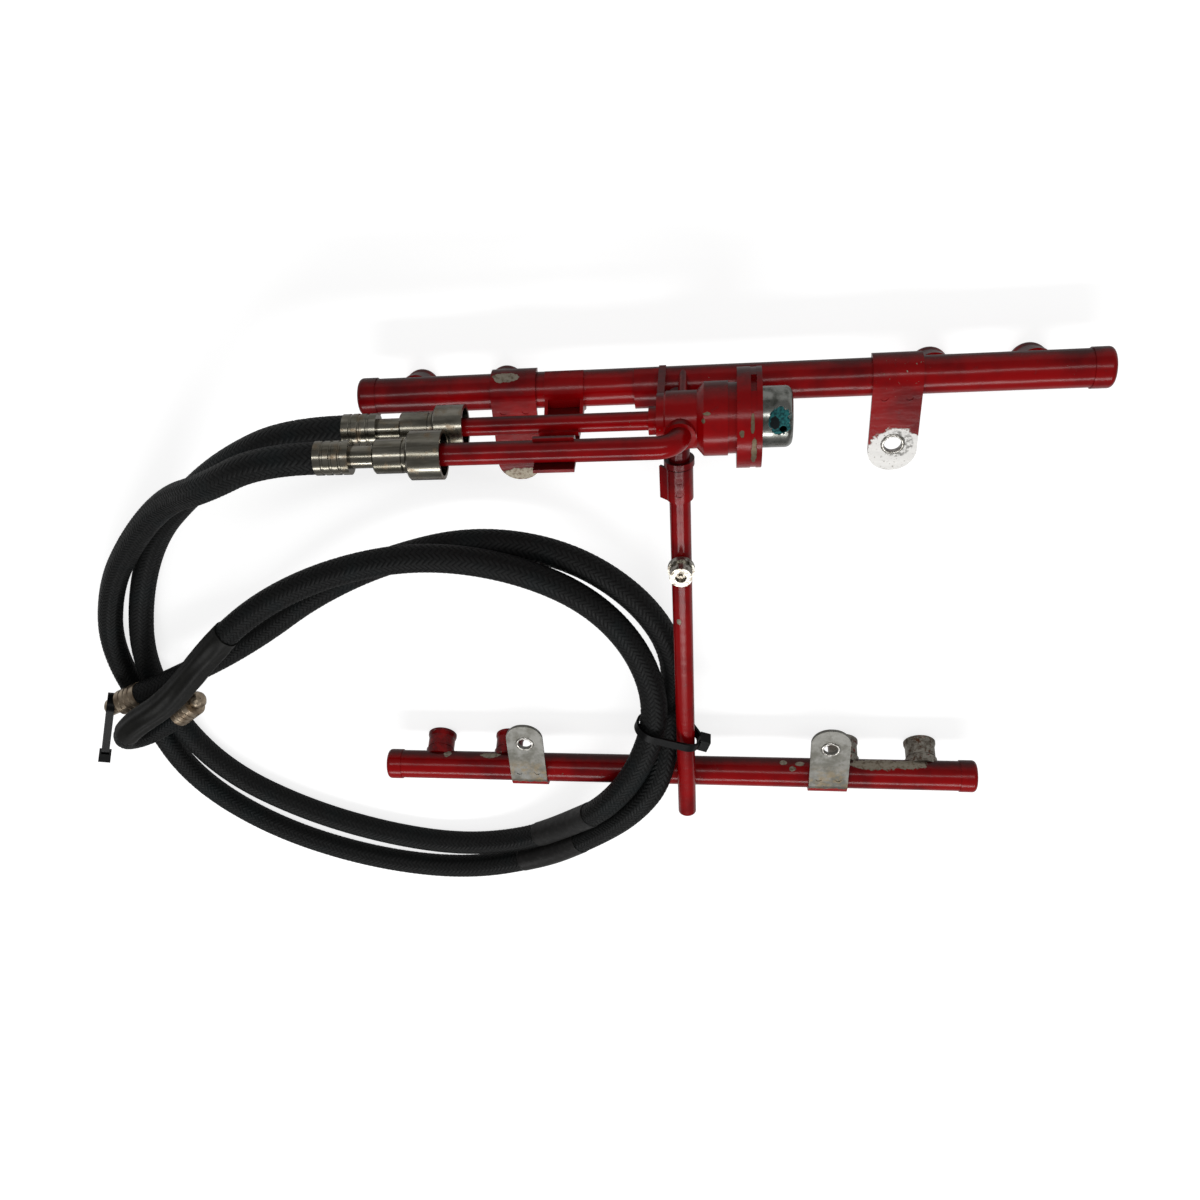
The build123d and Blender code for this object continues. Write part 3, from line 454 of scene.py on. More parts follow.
TONES = {
    "grimy paint": (0.050, 0.0015, 0.0025),
    "pitted metal": (0.12, 0.085, 0.055),
    "rusty metal": (0.10, 0.045, 0.024),
    "brown metal": (0.115, 0.078, 0.042),
    "worn zinc": (0.60, 0.59, 0.57),
    "scuffed zinc": (0.24, 0.225, 0.20),
    "scarred zinc": (0.15, 0.145, 0.135),
    "grimy cup": (0.04, 0.002, 0.003),
    "cup metal": (0.30, 0.28, 0.24),
    "shaded cup metal": (0.10, 0.080, 0.060),
    "rusty cup": (0.085, 0.038, 0.02),
    "smeared steel": (0.095, 0.088, 0.068),
    "pitted steel": (0.035, 0.025, 0.018),
    "capsule": (0.27, 0.275, 0.255),
    "capsule film": (0.060, 0.064, 0.053),
    "deep verdigris": (0.004, 0.045, 0.050),
    "crust": (0.55, 0.54, 0.50),
    "dark stain": (0.003, 0.007, 0.008),
    "oiled steel": (0.44, 0.36, 0.265),
    "shaded oiled steel": (0.21, 0.155, 0.105),
    "rusty groove": (0.07, 0.042, 0.026),
    "zinc": (0.185, 0.182, 0.168),
    "dull zinc": (0.105, 0.102, 0.088),
    "tanned zinc": (0.20, 0.15, 0.085),
    "pitted zinc": (0.07, 0.055, 0.045),
    "rim": (0.68, 0.66, 0.62),
    "dull rim": (0.25, 0.235, 0.205),
    "valve core": (0.36, 0.33, 0.27),
    "dirty valve core": (0.075, 0.055, 0.040),
    "valve body": (0.40, 0.385, 0.34),
    "dirty valve body": (0.085, 0.070, 0.052),
    "nylon": (0.0024, 0.0024, 0.0027),
    "scuffed nylon": (0.012, 0.0115, 0.011),
    "rubber": (0.010, 0.010, 0.010),
    "dusty rubber": (0.035, 0.033, 0.030),
    "shaded gap between strands": (0.0008, 0.0009, 0.0010),
    "worn yarn": (0.0125, 0.0138, 0.0135),
    "tinted yarn": (0.0016, 0.0075, 0.0090),
    "dusty yarn": (0.034, 0.031, 0.025),
    "label sleeve": (0.0085, 0.0080, 0.0078),
    "plain sleeve": (0.0090, 0.0088, 0.0085),
    "fold sleeve": (0.0030, 0.0030, 0.0024),
}


def red_paint(settings):
    """Thick gloss paint: lumps, grime, painted shade with some dust on one side, lit and shaded
    copies of its red in random patches, small chips, and the bare spots and end.
    """
    m = Finish("aged_red_paint")
    speckle = m.noise(settings.chip_size, 3.0, 0.6)
    patches = m.noise(0.022, 3.0, 0.55, seed=3.1)
    ragged = m.math("SUBTRACT", m.noise(0.0028, 4.0, 0.65, seed=7.7), 0.5)
    chips = m.math("MULTIPLY", m.step(speckle, 0.685, 0.700), m.step(patches, 0.60, 0.66))
    spots = m.most(*[m.blot(centre, reach, ragged) for centre, reach in BARE_SPOTS])
    end = m.blot(*BARE_END, m.math("MULTIPLY", ragged, 0.35))
    bare = m.math("MAXIMUM", m.most(spots, end), chips, clamp=True)
    normal = m.add("ShaderNodeNewGeometry").outputs["Normal"]
    # Darker on the side that faces away from the lamps, made ragged by a noise: painted shade with
    # some dust
    facing = m.vector("DOT_PRODUCT", normal, SHADED_SIDE)
    shade_with_dust = m.math("MULTIPLY_ADD", m.noise(0.006, 5.0, 0.7, seed=1.3), 0.5, facing)
    film = m.step(shade_with_dust, 0.70, 1.15)
    grime = m.math("MULTIPLY", m.step(m.noise(0.0045, 6.0, 0.75, seed=5.2), 0.57, 0.74), 0.45)
    # Lit and shaded copies of the red, mixed in random patches: painted light and shade
    lit = m.step(m.noise(0.035, 4.0, 0.6, seed=2.2), 0.30, 0.60)
    tone = m.mix(lit, settings.dark, settings.light)
    tone = m.mix(grime, tone, TONES["grimy paint"])
    # The film mixes in the painted shade with some dust
    tone = m.mix(m.math("MULTIPLY", film, 0.80), tone, settings.dust)
    pitted = m.step(m.noise(0.0016, 4.0, 0.7, seed=9.1), 0.45, 0.68)
    metal = m.mix(pitted, settings.bare, TONES["pitted metal"])
    rust = m.math("MULTIPLY", m.step(m.noise(0.005, 4.0, 0.7, seed=4.4), 0.56, 0.66), 0.6)
    metal = m.mix(rust, metal, TONES["rusty metal"])
    high = m.step(m.axis("Z"), BROWN_FROM, BROWN_ABOVE)
    metal = m.mix(m.math("MULTIPLY", high, 0.8), metal, TONES["brown metal"])
    scuffed = m.step(m.noise(0.0012, 3.0, 0.6, seed=2.9), 0.60, 0.72)
    zinc = m.mix(scuffed, TONES["worn zinc"], TONES["scuffed zinc"])
    from_hole = m.vector("MULTIPLY", m.vector("SUBTRACT", m.place, SCARRED_HOLE), (1.0, 1.0, 0.0))
    near_hole = m.step(m.vector("LENGTH", from_hole), *SCAR_REACH)
    scar = m.math("MULTIPLY", near_hole, m.step(m.noise(0.0016, 3.0, seed=5.5), 0.40, 0.60))
    zinc = m.mix(m.math("MULTIPLY", scar, 0.85), zinc, TONES["scarred zinc"])
    metal = m.mix(end, metal, zinc)
    lumps = m.noise(0.0050, 2.0, 0.45, m.squeezed((0.28, 1.0, 1.0)), seed=6.0)
    lumps = m.bump(lumps, 0.00060, 0.22)
    peel = m.bump(m.noise(0.0015, 2.0, 0.5, seed=8.0), 0.00012, 0.18, lumps)
    edge = m.bump(m.math("SUBTRACT", 1.0, bare), 0.00026, 0.8, peel)
    rough = m.math("MULTIPLY_ADD", film, 0.10, m.math("MULTIPLY_ADD", grime, 0.3, 0.215))
    return m.wear(
        Base_Color=m.mix(bare, tone, metal),
        Roughness=m.math("MULTIPLY_ADD", bare, 0.24, rough),
        Metallic=m.math("MULTIPLY", bare, 0.55),
        Normal=edge,
        Specular_IOR_Level=0.20,
    )


def worn_cup(settings, worn):
    """Paint on an injector cup, worn to grey-beige metal with some rust; worn is the bare share."""
    m = Finish(f"worn_cup_{round(worn * 100)}")
    patch = m.noise(0.0042, 5.0, 0.65, seed=12.0 + worn)
    threshold = m.math("MULTIPLY_ADD", m.axis("Z"), -9.0 * worn, 0.76 - 0.34 * worn)
    bare = m.step(m.math("SUBTRACT", patch, threshold), -0.02, 0.02)
    # Lit and shaded copies of the paint red, mixed in random patches: painted light and shade
    tone = m.mix(m.step(m.noise(0.008, 4.0, 0.6), 0.4, 0.6), settings.dark, settings.light)
    grime = m.math("MULTIPLY", m.step(m.noise(0.003, 4.0, 0.7, seed=3.0), 0.5, 0.7), 0.5)
    tone = m.mix(grime, tone, TONES["grimy cup"])
    # Random patches of a shaded copy of the cup metal: painted shade
    dark = m.step(m.noise(0.0022, 4.0, 0.7, seed=4.0), 0.40, 0.66)
    metal = m.mix(dark, TONES["cup metal"], TONES["shaded cup metal"])
    rusty = m.step(m.noise(0.0038, 4.0, 0.7, seed=8.0), 0.54, 0.68)
    metal = m.mix(rusty, metal, TONES["rusty cup"])
    ring = m.bump(bare, 0.0002, -0.8)
    return m.wear(
        Base_Color=m.mix(bare, tone, metal),
        Roughness=m.math("MULTIPLY_ADD", bare, 0.20, 0.24),
        Metallic=m.math("MULTIPLY", bare, 0.75),
        Normal=m.bump(m.noise(0.0012, 3.0, 0.6), 0.0001, 0.4, ring),
        Specular_IOR_Level=0.20,
    )


def turned_steel(settings):
    """Plated steel turned about X: fine rings, dark smears and small tan stains."""
    m = Finish("turned_steel")
    rings = m.noise(0.00045, 3.0, 0.6, m.squeezed((1.0, 0.06, 0.06)))
    smear = m.noise(0.0042, 4.0, 0.6, m.squeezed((0.16, 1.0, 1.0)))
    stain = m.math("MULTIPLY", m.step(m.noise(0.0050, 4.0, 0.6, seed=3.0), 0.50, 0.74), 0.7)
    pits = m.step(m.noise(0.0009, 2.0, 0.5, seed=2.0), 0.70, 0.76)
    tone = m.mix(m.step(smear, 0.30, 0.70), settings.steel, TONES["smeared steel"])
    tone = m.mix(stain, tone, settings.stain)
    tone = m.mix(m.math("MULTIPLY", pits, 0.8), tone, TONES["pitted steel"])
    rough = m.math("MULTIPLY_ADD", smear, 0.18, 0.13)
    return m.wear(
        Base_Color=tone,
        Metallic=1.0,
        Roughness=m.math("MULTIPLY_ADD", stain, 0.22, rough),
        Normal=m.bump(pits, 0.0001, -0.6, m.bump(rings, 0.00003, 0.3)),
    )


def capsule_metal(settings):
    """Drawn steel of the regulator's capsule with blue-green corrosion round its vent."""
    m = Finish("capsule_metal")
    ragged = m.math("SUBTRACT", m.noise(0.0026, 5.0, 0.7, seed=2.0), 0.5)
    green = m.blot(*GREEN_SPOT, ragged)
    dark = m.blot(*DARK_SPOT, ragged)
    crusty = m.blot(*CRUSTY_SPOT, ragged)
    film = m.math("MULTIPLY", m.step(m.noise(0.0065, 4.0, 0.65, seed=8.0), 0.42, 0.66), 0.85)
    tone = m.mix(film, TONES["capsule"], TONES["capsule film"])
    deep = m.step(m.noise(0.0011, 3.0, 0.6), 0.40, 0.60)
    shades = m.mix(deep, settings.verdigris, TONES["deep verdigris"])
    tone = m.mix(crusty, tone, TONES["crust"])
    tone = m.mix(green, tone, shades)
    tone = m.mix(dark, tone, TONES["dark stain"])
    crust = m.math("MULTIPLY", green, m.noise(0.0009, 3.0, 0.7))
    rough = m.math("MULTIPLY_ADD", film, 0.12, 0.22)
    rough = m.math("MULTIPLY_ADD", m.most(green, crusty), 0.35, rough)
    return m.wear(
        Base_Color=tone,
        Metallic=m.math("MULTIPLY_ADD", m.most(green, dark, crusty), -0.9, 1.0),
        Roughness=rough,
        Normal=m.bump(crust, 0.0004, 0.8, m.bump(m.noise(0.0025, 2.0), 0.00008, 0.3)),
        Specular_IOR_Level=0.15,
    )


def tan_steel():
    """Crimped ends of the hoses: steel under tan oil, with light rust in their grooves."""
    m = Finish("tan_steel_ends")
    # Random patches of a shaded copy of the oiled steel: painted shade
    dark = m.step(m.noise(0.006, 3.0, 0.55), 0.36, 0.66)
    tone = m.mix(dark, TONES["oiled steel"], TONES["shaded oiled steel"])
    rusty = m.step(m.noise(0.0016, 3.0, 0.6, seed=5.0), 0.64, 0.74)
    tone = m.mix(rusty, tone, TONES["rusty groove"])
    return m.wear(
        Base_Color=tone,
        Metallic=0.85,
        Roughness=m.math("MULTIPLY_ADD", m.noise(0.004), 0.20, 0.24),
        Normal=m.bump(m.noise(0.0016, 3.0, 0.5), 0.00005, 0.35),
    )


def zinc_plate(settings):
    """Far brackets: dull zinc, tan near the fold, with paint left on the strap's far side."""
    m = Finish("zinc_plate")
    depth = m.axis("Y")
    ragged = m.math("MULTIPLY_ADD", m.noise(0.0035, 4.0, 0.65, seed=2.0), 0.004, depth)
    red = m.step(ragged, PAINT_FROM, PAINT_FULL)
    dull = m.step(m.noise(0.007, 4.0, 0.6), 0.35, 0.65)
    tone = m.mix(dull, TONES["zinc"], TONES["dull zinc"])
    tanned = m.math("MULTIPLY", m.step(m.noise(0.0045, 5.0, 0.7, seed=6.0), 0.42, 0.62), 0.70)
    tanned = m.math("MULTIPLY", tanned, m.step(depth, TAN_FROM, TAN_FULL))
    tone = m.mix(tanned, tone, TONES["tanned zinc"])
    pits = m.step(m.noise(0.0011, 3.0, 0.6, seed=4.0), 0.66, 0.74)
    tone = m.mix(pits, tone, TONES["pitted zinc"])
    rim = m.bump(red, 0.0002, 0.8, m.bump(m.noise(0.0014, 3.0, 0.5), 0.00004, 0.4))
    return m.wear(
        Base_Color=m.mix(red, tone, settings.light),
        Metallic=m.math("MULTIPLY_ADD", red, -0.85, 0.85),
        Roughness=m.math("MULTIPLY_ADD", m.noise(0.003, 3.0), 0.20, 0.30),
        Normal=rim,
        Specular_IOR_Level=0.20,
    )


def hole_rim():
    """Rims that the bolts pressed up round the bracket holes: bright, scuffed zinc."""
    m = Finish("hole_rim")
    dull = m.step(m.noise(0.0012, 4.0, 0.6), 0.40, 0.62)
    return m.wear(
        Base_Color=m.mix(dull, TONES["rim"], TONES["dull rim"]),
        Metallic=0.8,
        Roughness=0.3,
        Normal=m.bump(m.noise(0.0006, 3.0), 0.00005, 0.5),
    )


def valve_metal():
    """Small turned core and pin in the service valve, dark with dirt."""
    m = Finish("valve_metal")
    dirty = m.step(m.noise(0.0015, 4.0, 0.6), 0.40, 0.62)
    return m.wear(
        Base_Color=m.mix(dirty, TONES["valve core"], TONES["dirty valve core"]),
        Metallic=0.95,
        Roughness=m.math("MULTIPLY_ADD", m.noise(0.001), 0.25, 0.22),
        Normal=m.bump(m.noise(0.0006, 3.0), 0.00003, 0.4),
    )


def valve_paint(settings):
    """Service valve: turned grey metal with red left round its foot."""
    m = Finish("valve_paint")
    patch = m.math("MULTIPLY_ADD", m.noise(0.002, 4.0, 0.6), 0.003, m.axis("Z"))
    bare = m.step(patch, FOOT_TOP, BARE_ABOVE)
    dirty = m.step(m.noise(0.0018, 4.0, 0.7, seed=2.0), 0.42, 0.62)
    metal = m.mix(dirty, TONES["valve body"], TONES["dirty valve body"])
    return m.wear(
        # Lit and shaded copies of the paint red on the valve's foot, mixed in random patches:
        # painted light and shade
        Base_Color=m.mix(bare, m.mix(m.noise(0.004), settings.dark, settings.light), metal),
        Metallic=m.math("MULTIPLY", bare, 0.95),
        Roughness=m.math("MULTIPLY_ADD", m.noise(0.002, 3.0, seed=4.0), 0.25, 0.18),
        Normal=m.bump(m.noise(0.0008, 3.0), 0.00005, 0.4),
        Specular_IOR_Level=0.20,
    )


def black_nylon():
    """Zip ties: smooth black nylon, a little scuffed."""
    m = Finish("black_nylon")
    scuff = m.step(m.noise(0.0016, 5.0, 0.75), 0.55, 0.75)
    return m.wear(
        Base_Color=m.mix(m.math("MULTIPLY", scuff, 0.5), TONES["nylon"], TONES["scuffed nylon"]),
        Roughness=m.math("MULTIPLY_ADD", scuff, 0.25, 0.34),
        Normal=m.bump(m.noise(0.0007, 3.0), 0.00004, 0.5),
        Specular_IOR_Level=0.10,
    )


def seal_rubber():
    """Seal between capsule and housing: dull rubber."""
    m = Finish("seal_rubber_black")
    return m.wear(
        Base_Color=m.mix(m.noise(0.002, 4.0), TONES["rubber"], TONES["dusty rubber"]),
        Roughness=0.7,
        Normal=m.bump(m.noise(0.0005, 3.0), 0.00005, 0.5),
    )


def herringbone(math_node, along, around, pitch, strands):
    """Counts across the strands of both ways, and 1 where the first way lies on top."""
    turns = math_node("DIVIDE", along, pitch)
    one = math_node("MULTIPLY", math_node("ADD", around, turns), strands)
    two = math_node("MULTIPLY", math_node("SUBTRACT", around, turns), strands)
    order = math_node("ADD", math_node("FLOOR", one), math_node("FLOOR", two))
    return one, two, math_node("LESS_THAN", math_node("FLOORED_MODULO", order, 4.0), 1.5)


def braid_yarn(settings):
    """Herringbone braid from the jacket's own map: X in metres along the hose, Y once round."""
    m = Finish("braid_yarn")
    place = m.add("ShaderNodeUVMap", uv_map="UVMap").outputs["UV"]
    axes = m.add("ShaderNodeSeparateXYZ", {0: place}).outputs
    strands = float(settings.carriers)
    one, two, over = herringbone(m.math, axes["X"], axes["Y"], settings.pitch, strands)
    across = m.add("ShaderNodeMix", {"Factor": over}, data_type="FLOAT")
    m.set(across.inputs[2], m.math("FRACT", two))
    m.set(across.inputs[3], m.math("FRACT", one))
    share = across.outputs[0]
    crown = m.math("SINE", m.math("MULTIPLY", share, math.pi))
    threads = m.math("SINE", m.math("MULTIPLY", share, 2 * math.pi * 4))
    height = m.math("MULTIPLY_ADD", threads, 0.10, m.math("POWER", crown, 0.6))
    rubbed = m.step(m.noise(0.0045, 5.0, 0.7, seed=2.0), 0.42, 0.72)
    worn = m.math("MULTIPLY", m.step(crown, 0.55, 1.0), rubbed)
    fuzz = m.noise(0.0006, 3.0, 0.7)
    # Darker in the gaps between the strands: painted shade
    tone = m.mix(m.step(crown, 0.1, 0.75), TONES["shaded gap between strands"], settings.yarn)
    tone = m.mix(m.math("MULTIPLY", worn, 0.55), tone, TONES["worn yarn"])
    tinted = m.math("MULTIPLY", m.step(m.noise(0.030, 3.0, 0.6, seed=9.0), 0.50, 0.68), 0.35)
    tone = m.mix(tinted, tone, TONES["tinted yarn"])
    dusty = m.step(m.noise(0.018, 4.0, 0.7, seed=6.0), 0.52, 0.72)
    dust = m.math("MULTIPLY", dusty, m.step(fuzz, 0.5, 0.75))
    tone = m.mix(m.math("MULTIPLY", dust, 0.30), tone, TONES["dusty yarn"])
    return m.wear(
        Base_Color=tone,
        Roughness=m.math("MULTIPLY_ADD", crown, -0.12, 0.60),
        Normal=m.bump(m.math("MULTIPLY_ADD", fuzz, 0.15, height), STRAND_RELIEF, 0.8),
        Specular_IOR_Level=0.17,
    )


def sleeve_black(name, rough):
    """Shrunk plastic sleeve with faint wrinkles, from its tone and how rough it is at least."""
    m = Finish(name)
    base = TONES[name.replace("_", " ")]
    scuffed = tuple(2.2 * c for c in base)
    grain = m.bump(m.noise(0.0008, 3.0), 0.00008, 0.5)
    return m.wear(
        Base_Color=m.mix(m.step(m.noise(0.003, 5.0, 0.7), 0.45, 0.7), base, scuffed),
        Roughness=m.math("MULTIPLY_ADD", m.noise(0.004, 3.0), 0.25, rough),
        Specular_IOR_Level=0.22,
        Normal=m.bump(m.noise(0.0035, 4.0, 0.6), 0.0003, 0.6, grain),
    )


def braid_tree():
    """Geometry nodes that turn a hose's line into a braided jacket with its own map."""
    tree = bpy.data.node_groups.new("braided_jacket", "GeometryNodeTree")
    face = tree.interface
    face.new_socket("Line", in_out="INPUT", socket_type="NodeSocketGeometry")
    for name, kind, value in (
        ("Radius", "NodeSocketFloat", HOSE_RADIUS),
        ("Ring Spacing", "NodeSocketFloat", RING_SPACING),
        ("Sides", "NodeSocketInt", JACKET_SIDES),
        ("Carriers", "NodeSocketInt", STRANDS_EACH_WAY),
        ("Pitch", "NodeSocketFloat", BRAID_PITCH),
        ("Relief", "NodeSocketFloat", STRAND_RELIEF),
    ):
        face.new_socket(name, in_out="INPUT", socket_type=kind).default_value = value
    face.new_socket("Material", in_out="INPUT", socket_type="NodeSocketMaterial")
    face.new_socket("Jacket", in_out="OUTPUT", socket_type="NodeSocketGeometry")

    def add(kind, inputs=(), **settings):
        return add_node(tree, kind, inputs, **settings)

    def math_node(operation, a, b=0.0):
        return add("ShaderNodeMath", {0: a, 1: b}, operation=operation).outputs[0]

    start = add("NodeGroupInput").outputs
    rings = add("GeometryNodeResampleCurve", {
        "Curve": start["Line"], "Length": start["Ring Spacing"],
    }, mode="LENGTH")
    keep_along = add("GeometryNodeCaptureAttribute", {"Geometry": rings.outputs[0]})
    keep_along.capture_items.new("FLOAT", "Along")
    tree.links.new(add("GeometryNodeSplineParameter").outputs["Length"], keep_along.inputs[1])
    circle = add("GeometryNodeCurvePrimitiveCircle", {
        "Resolution": start["Sides"], "Radius": start["Radius"],
    })
    keep_round = add("GeometryNodeCaptureAttribute", {"Geometry": circle.outputs["Curve"]})
    keep_round.capture_items.new("FLOAT", "Round")
    tree.links.new(add("GeometryNodeSplineParameter").outputs["Factor"], keep_round.inputs[1])
    tube = add("GeometryNodeCurveToMesh", {
        "Curve": keep_along.outputs["Geometry"],
        "Profile Curve": keep_round.outputs["Geometry"],
        "Fill Caps": True,
    })
    along = keep_along.outputs[1]
    around = keep_round.outputs[1]

    # The last face of a ring closes it, so its corners at 0 count as 1
    middle = add("GeometryNodeFieldOnDomain", {0: around}, domain="FACE", data_type="FLOAT")
    part_of_side = math_node("DIVIDE", 0.25, start["Sides"])
    at_start = math_node("LESS_THAN", around, part_of_side)
    closes = math_node("GREATER_THAN", middle.outputs[0], 0.3)
    wrapped = math_node("ADD", around, math_node("MULTIPLY", at_start, closes))
    pair = add("ShaderNodeCombineXYZ", {"X": along, "Y": wrapped}).outputs[0]
    mapped = add("GeometryNodeStoreNamedAttribute", {
        "Geometry": tube.outputs[0], "Name": "UVMap", "Value": pair,
    }, data_type="FLOAT2", domain="CORNER")

    one, two, over = herringbone(math_node, along, around, start["Pitch"], start["Carriers"])
    crown_one = math_node("SINE", math_node("MULTIPLY", math_node("FRACT", one), math.pi))
    crown_two = math_node("SINE", math_node("MULTIPLY", math_node("FRACT", two), math.pi))
    top_one = math_node("MULTIPLY", over, crown_one)
    top_two = math_node("MULTIPLY", math_node("SUBTRACT", 1.0, over), crown_two)
    top = math_node("ADD", top_one, top_two)
    sunk = math_node("MULTIPLY", math_node("SUBTRACT", top, 1.0), start["Relief"])
    outward = add("GeometryNodeInputNormal").outputs["Normal"]
    push = add("ShaderNodeVectorMath", {0: outward, "Scale": sunk}, operation="SCALE")
    shaped = add("GeometryNodeSetPosition", {
        "Geometry": mapped.outputs[0], "Offset": push.outputs[0],
    })
    smooth = add("GeometryNodeSetShadeSmooth", {"Geometry": shaped.outputs[0]})
    real = add("GeometryNodeRealizeInstances", {"Geometry": smooth.outputs[0]})
    dressed = add("GeometryNodeSetMaterial", {
        "Geometry": real.outputs[0], "Material": start["Material"],
    })
    tree.links.new(dressed.outputs[0], add("NodeGroupOutput").inputs["Jacket"])
    return tree


def give(holder, tree, values):
    """Puts a geometry nodes modifier on an object and sets its inputs by their identifiers."""
    modifier = holder.modifiers.new(tree.name, "NODES")
    modifier.node_group = tree
    sockets = {
        item.name: item.identifier for item in tree.interface.items_tree if item.in_out == "INPUT"
    }
    for name, value in values.items():
        modifier[sockets[name]] = value


def plain_mesh(holder, name):
    """The evaluated object as a plain mesh object of its own; the one it came from goes."""
    holder.update_tag()
    graph = bpy.context.evaluated_depsgraph_get()
    mesh = bpy.data.meshes.new_from_object(holder.evaluated_get(graph), depsgraph=graph)
    bpy.data.objects.remove(holder)
    piece = bpy.data.objects.new(name, mesh)
    mesh.name = name
    bpy.context.scene.collection.objects.link(piece)
    return piece


def hose_line(name, route):
    """One open spline of degree two along the hose's control points."""
    curve = bpy.data.curves.new(name, "CURVE")
    curve.dimensions = "3D"
    curve.resolution_u = SPLINE_STEPS
    spline = curve.splines.new("NURBS")
    spline.points.add(len(route) - 1)
    for point, place in zip(spline.points, route):
        point.co = (*place, 1.0)
    spline.order_u = SPLINE_ORDER
    spline.use_endpoint_u = True
    line = bpy.data.objects.new(name, curve)
    bpy.context.scene.collection.objects.link(line)
    return line


def line_points(line):
    """Points along a hose's spline, as Blender evaluates it."""
    graph = bpy.context.evaluated_depsgraph_get()
    mesh = bpy.data.meshes.new_from_object(line.evaluated_get(graph), depsgraph=graph)
    points = [v.co.copy() for v in mesh.vertices]
    bpy.data.meshes.remove(mesh)
    return points


def stretch(points, start, end, step):
    """The part of a line between two shares of its length, in even steps."""
    reach = [0.0]
    for a, b in zip(points, points[1:]):
        reach.append(reach[-1] + (b - a).length)
    first, last = start * reach[-1], end * reach[-1]
    count = max(2, round((last - first) / step))
    found = []
    i = 0
    for k in range(count + 1):
        want = first + (last - first) * k / count
        while i < len(points) - 2 and reach[i + 1] < want:
            i += 1
        share = (want - reach[i]) / (reach[i + 1] - reach[i])
        found.append(points[i].lerp(points[i + 1], share))
    return found


def closed_piece(name, shape):
    """A closed bmesh as an object of its own, its faces turned outwards."""
    bmesh.ops.recalc_face_normals(shape, faces=shape.faces)
    return plain_piece(name, shape)


def plain_piece(name, shape):
    """A bmesh as an object of its own, linked to the scene."""
    mesh = bpy.data.meshes.new(name)
    shape.to_mesh(mesh)
    shape.free()
    piece = bpy.data.objects.new(name, mesh)
    bpy.context.scene.collection.objects.link(piece)
    return piece


def swept(name, points, section):
    """Closed mesh tube along points. section(i, angle) gives the radius at ring i."""
    shape = bmesh.new()
    rings = []
    along = (points[1] - points[0]).normalized()
    side = along.orthogonal().normalized()
    for i, point in enumerate(points):
        before = points[max(i - 1, 0)]
        after = points[min(i + 1, len(points) - 1)]
        along = (after - before).normalized()
        side = (side - along * side.dot(along)).normalized()
        up = along.cross(side)
        ring = []
        for k in range(SLEEVE_SIDES):
            angle = 2 * math.pi * k / SLEEVE_SIDES
            out = side * math.cos(angle) + up * math.sin(angle)
            ring.append(shape.verts.new(point + out * section(i, angle)))
        rings.append(ring)
    for low, high in zip(rings, rings[1:]):
        for k in range(SLEEVE_SIDES):
            j = (k + 1) % SLEEVE_SIDES
            shape.faces.new((low[k], low[j], high[j], high[k]))
    shape.faces.new(list(reversed(rings[0])))
    shape.faces.new(rings[-1])
    piece = closed_piece(name, shape)
    for face in piece.data.polygons:
        face.use_smooth = len(face.vertices) == 4
    return piece


def dress(names, material):
    """Gives CAD pieces one material in place of their plain one."""
    for name in names:
        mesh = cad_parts[name].data
        mesh.materials.clear()
        mesh.materials.append(material)


def turned_rim(name, centre):
    """Ring about the vertical through centre, from the rim's section as radii and heights."""
    shape = bmesh.new()
    rings = []
    for k in range(RIM_SIDES):
        angle = 2 * math.pi * k / RIM_SIDES
        out = Vector((math.cos(angle), math.sin(angle), 0.0))
        places = [centre + out * r + Vector((0.0, 0.0, z)) for r, z in RIM_PROFILE]
        rings.append([shape.verts.new(place) for place in places])
    count = len(RIM_PROFILE)
    for k in range(RIM_SIDES):
        here, there = rings[k], rings[(k + 1) % RIM_SIDES]
        for i in range(count):
            j = (i + 1) % count
            shape.faces.new((here[i], there[i], there[j], here[j]))
    piece = closed_piece(name, shape)
    for face in piece.data.polygons:
        face.use_smooth = True
    return piece


def pale_floor(settings):
    """Floor that the camera sees white but for the object's shadow."""
    m = Finish("pale_floor")
    ray = m.add("ShaderNodeLightPath").outputs
    mirrored = m.math("MULTIPLY", ray["Is Glossy Ray"], settings.mirrored_glow)
    glow = m.math("MULTIPLY_ADD", ray["Is Camera Ray"], settings.floor_glow, mirrored)
    lit = m.add("ShaderNodeEmission", {"Strength": glow})
    both = m.add("ShaderNodeAddShader", {0: m.shader.outputs[0], 1: lit.outputs[0]})
    m.set(find_node(m.tree, "OUTPUT_MATERIAL").inputs["Surface"], both.outputs[0])
    return m.wear(Base_Color=FLOOR_TONE, Roughness=FLOOR_ROUGHNESS, Specular_IOR_Level=0.0)


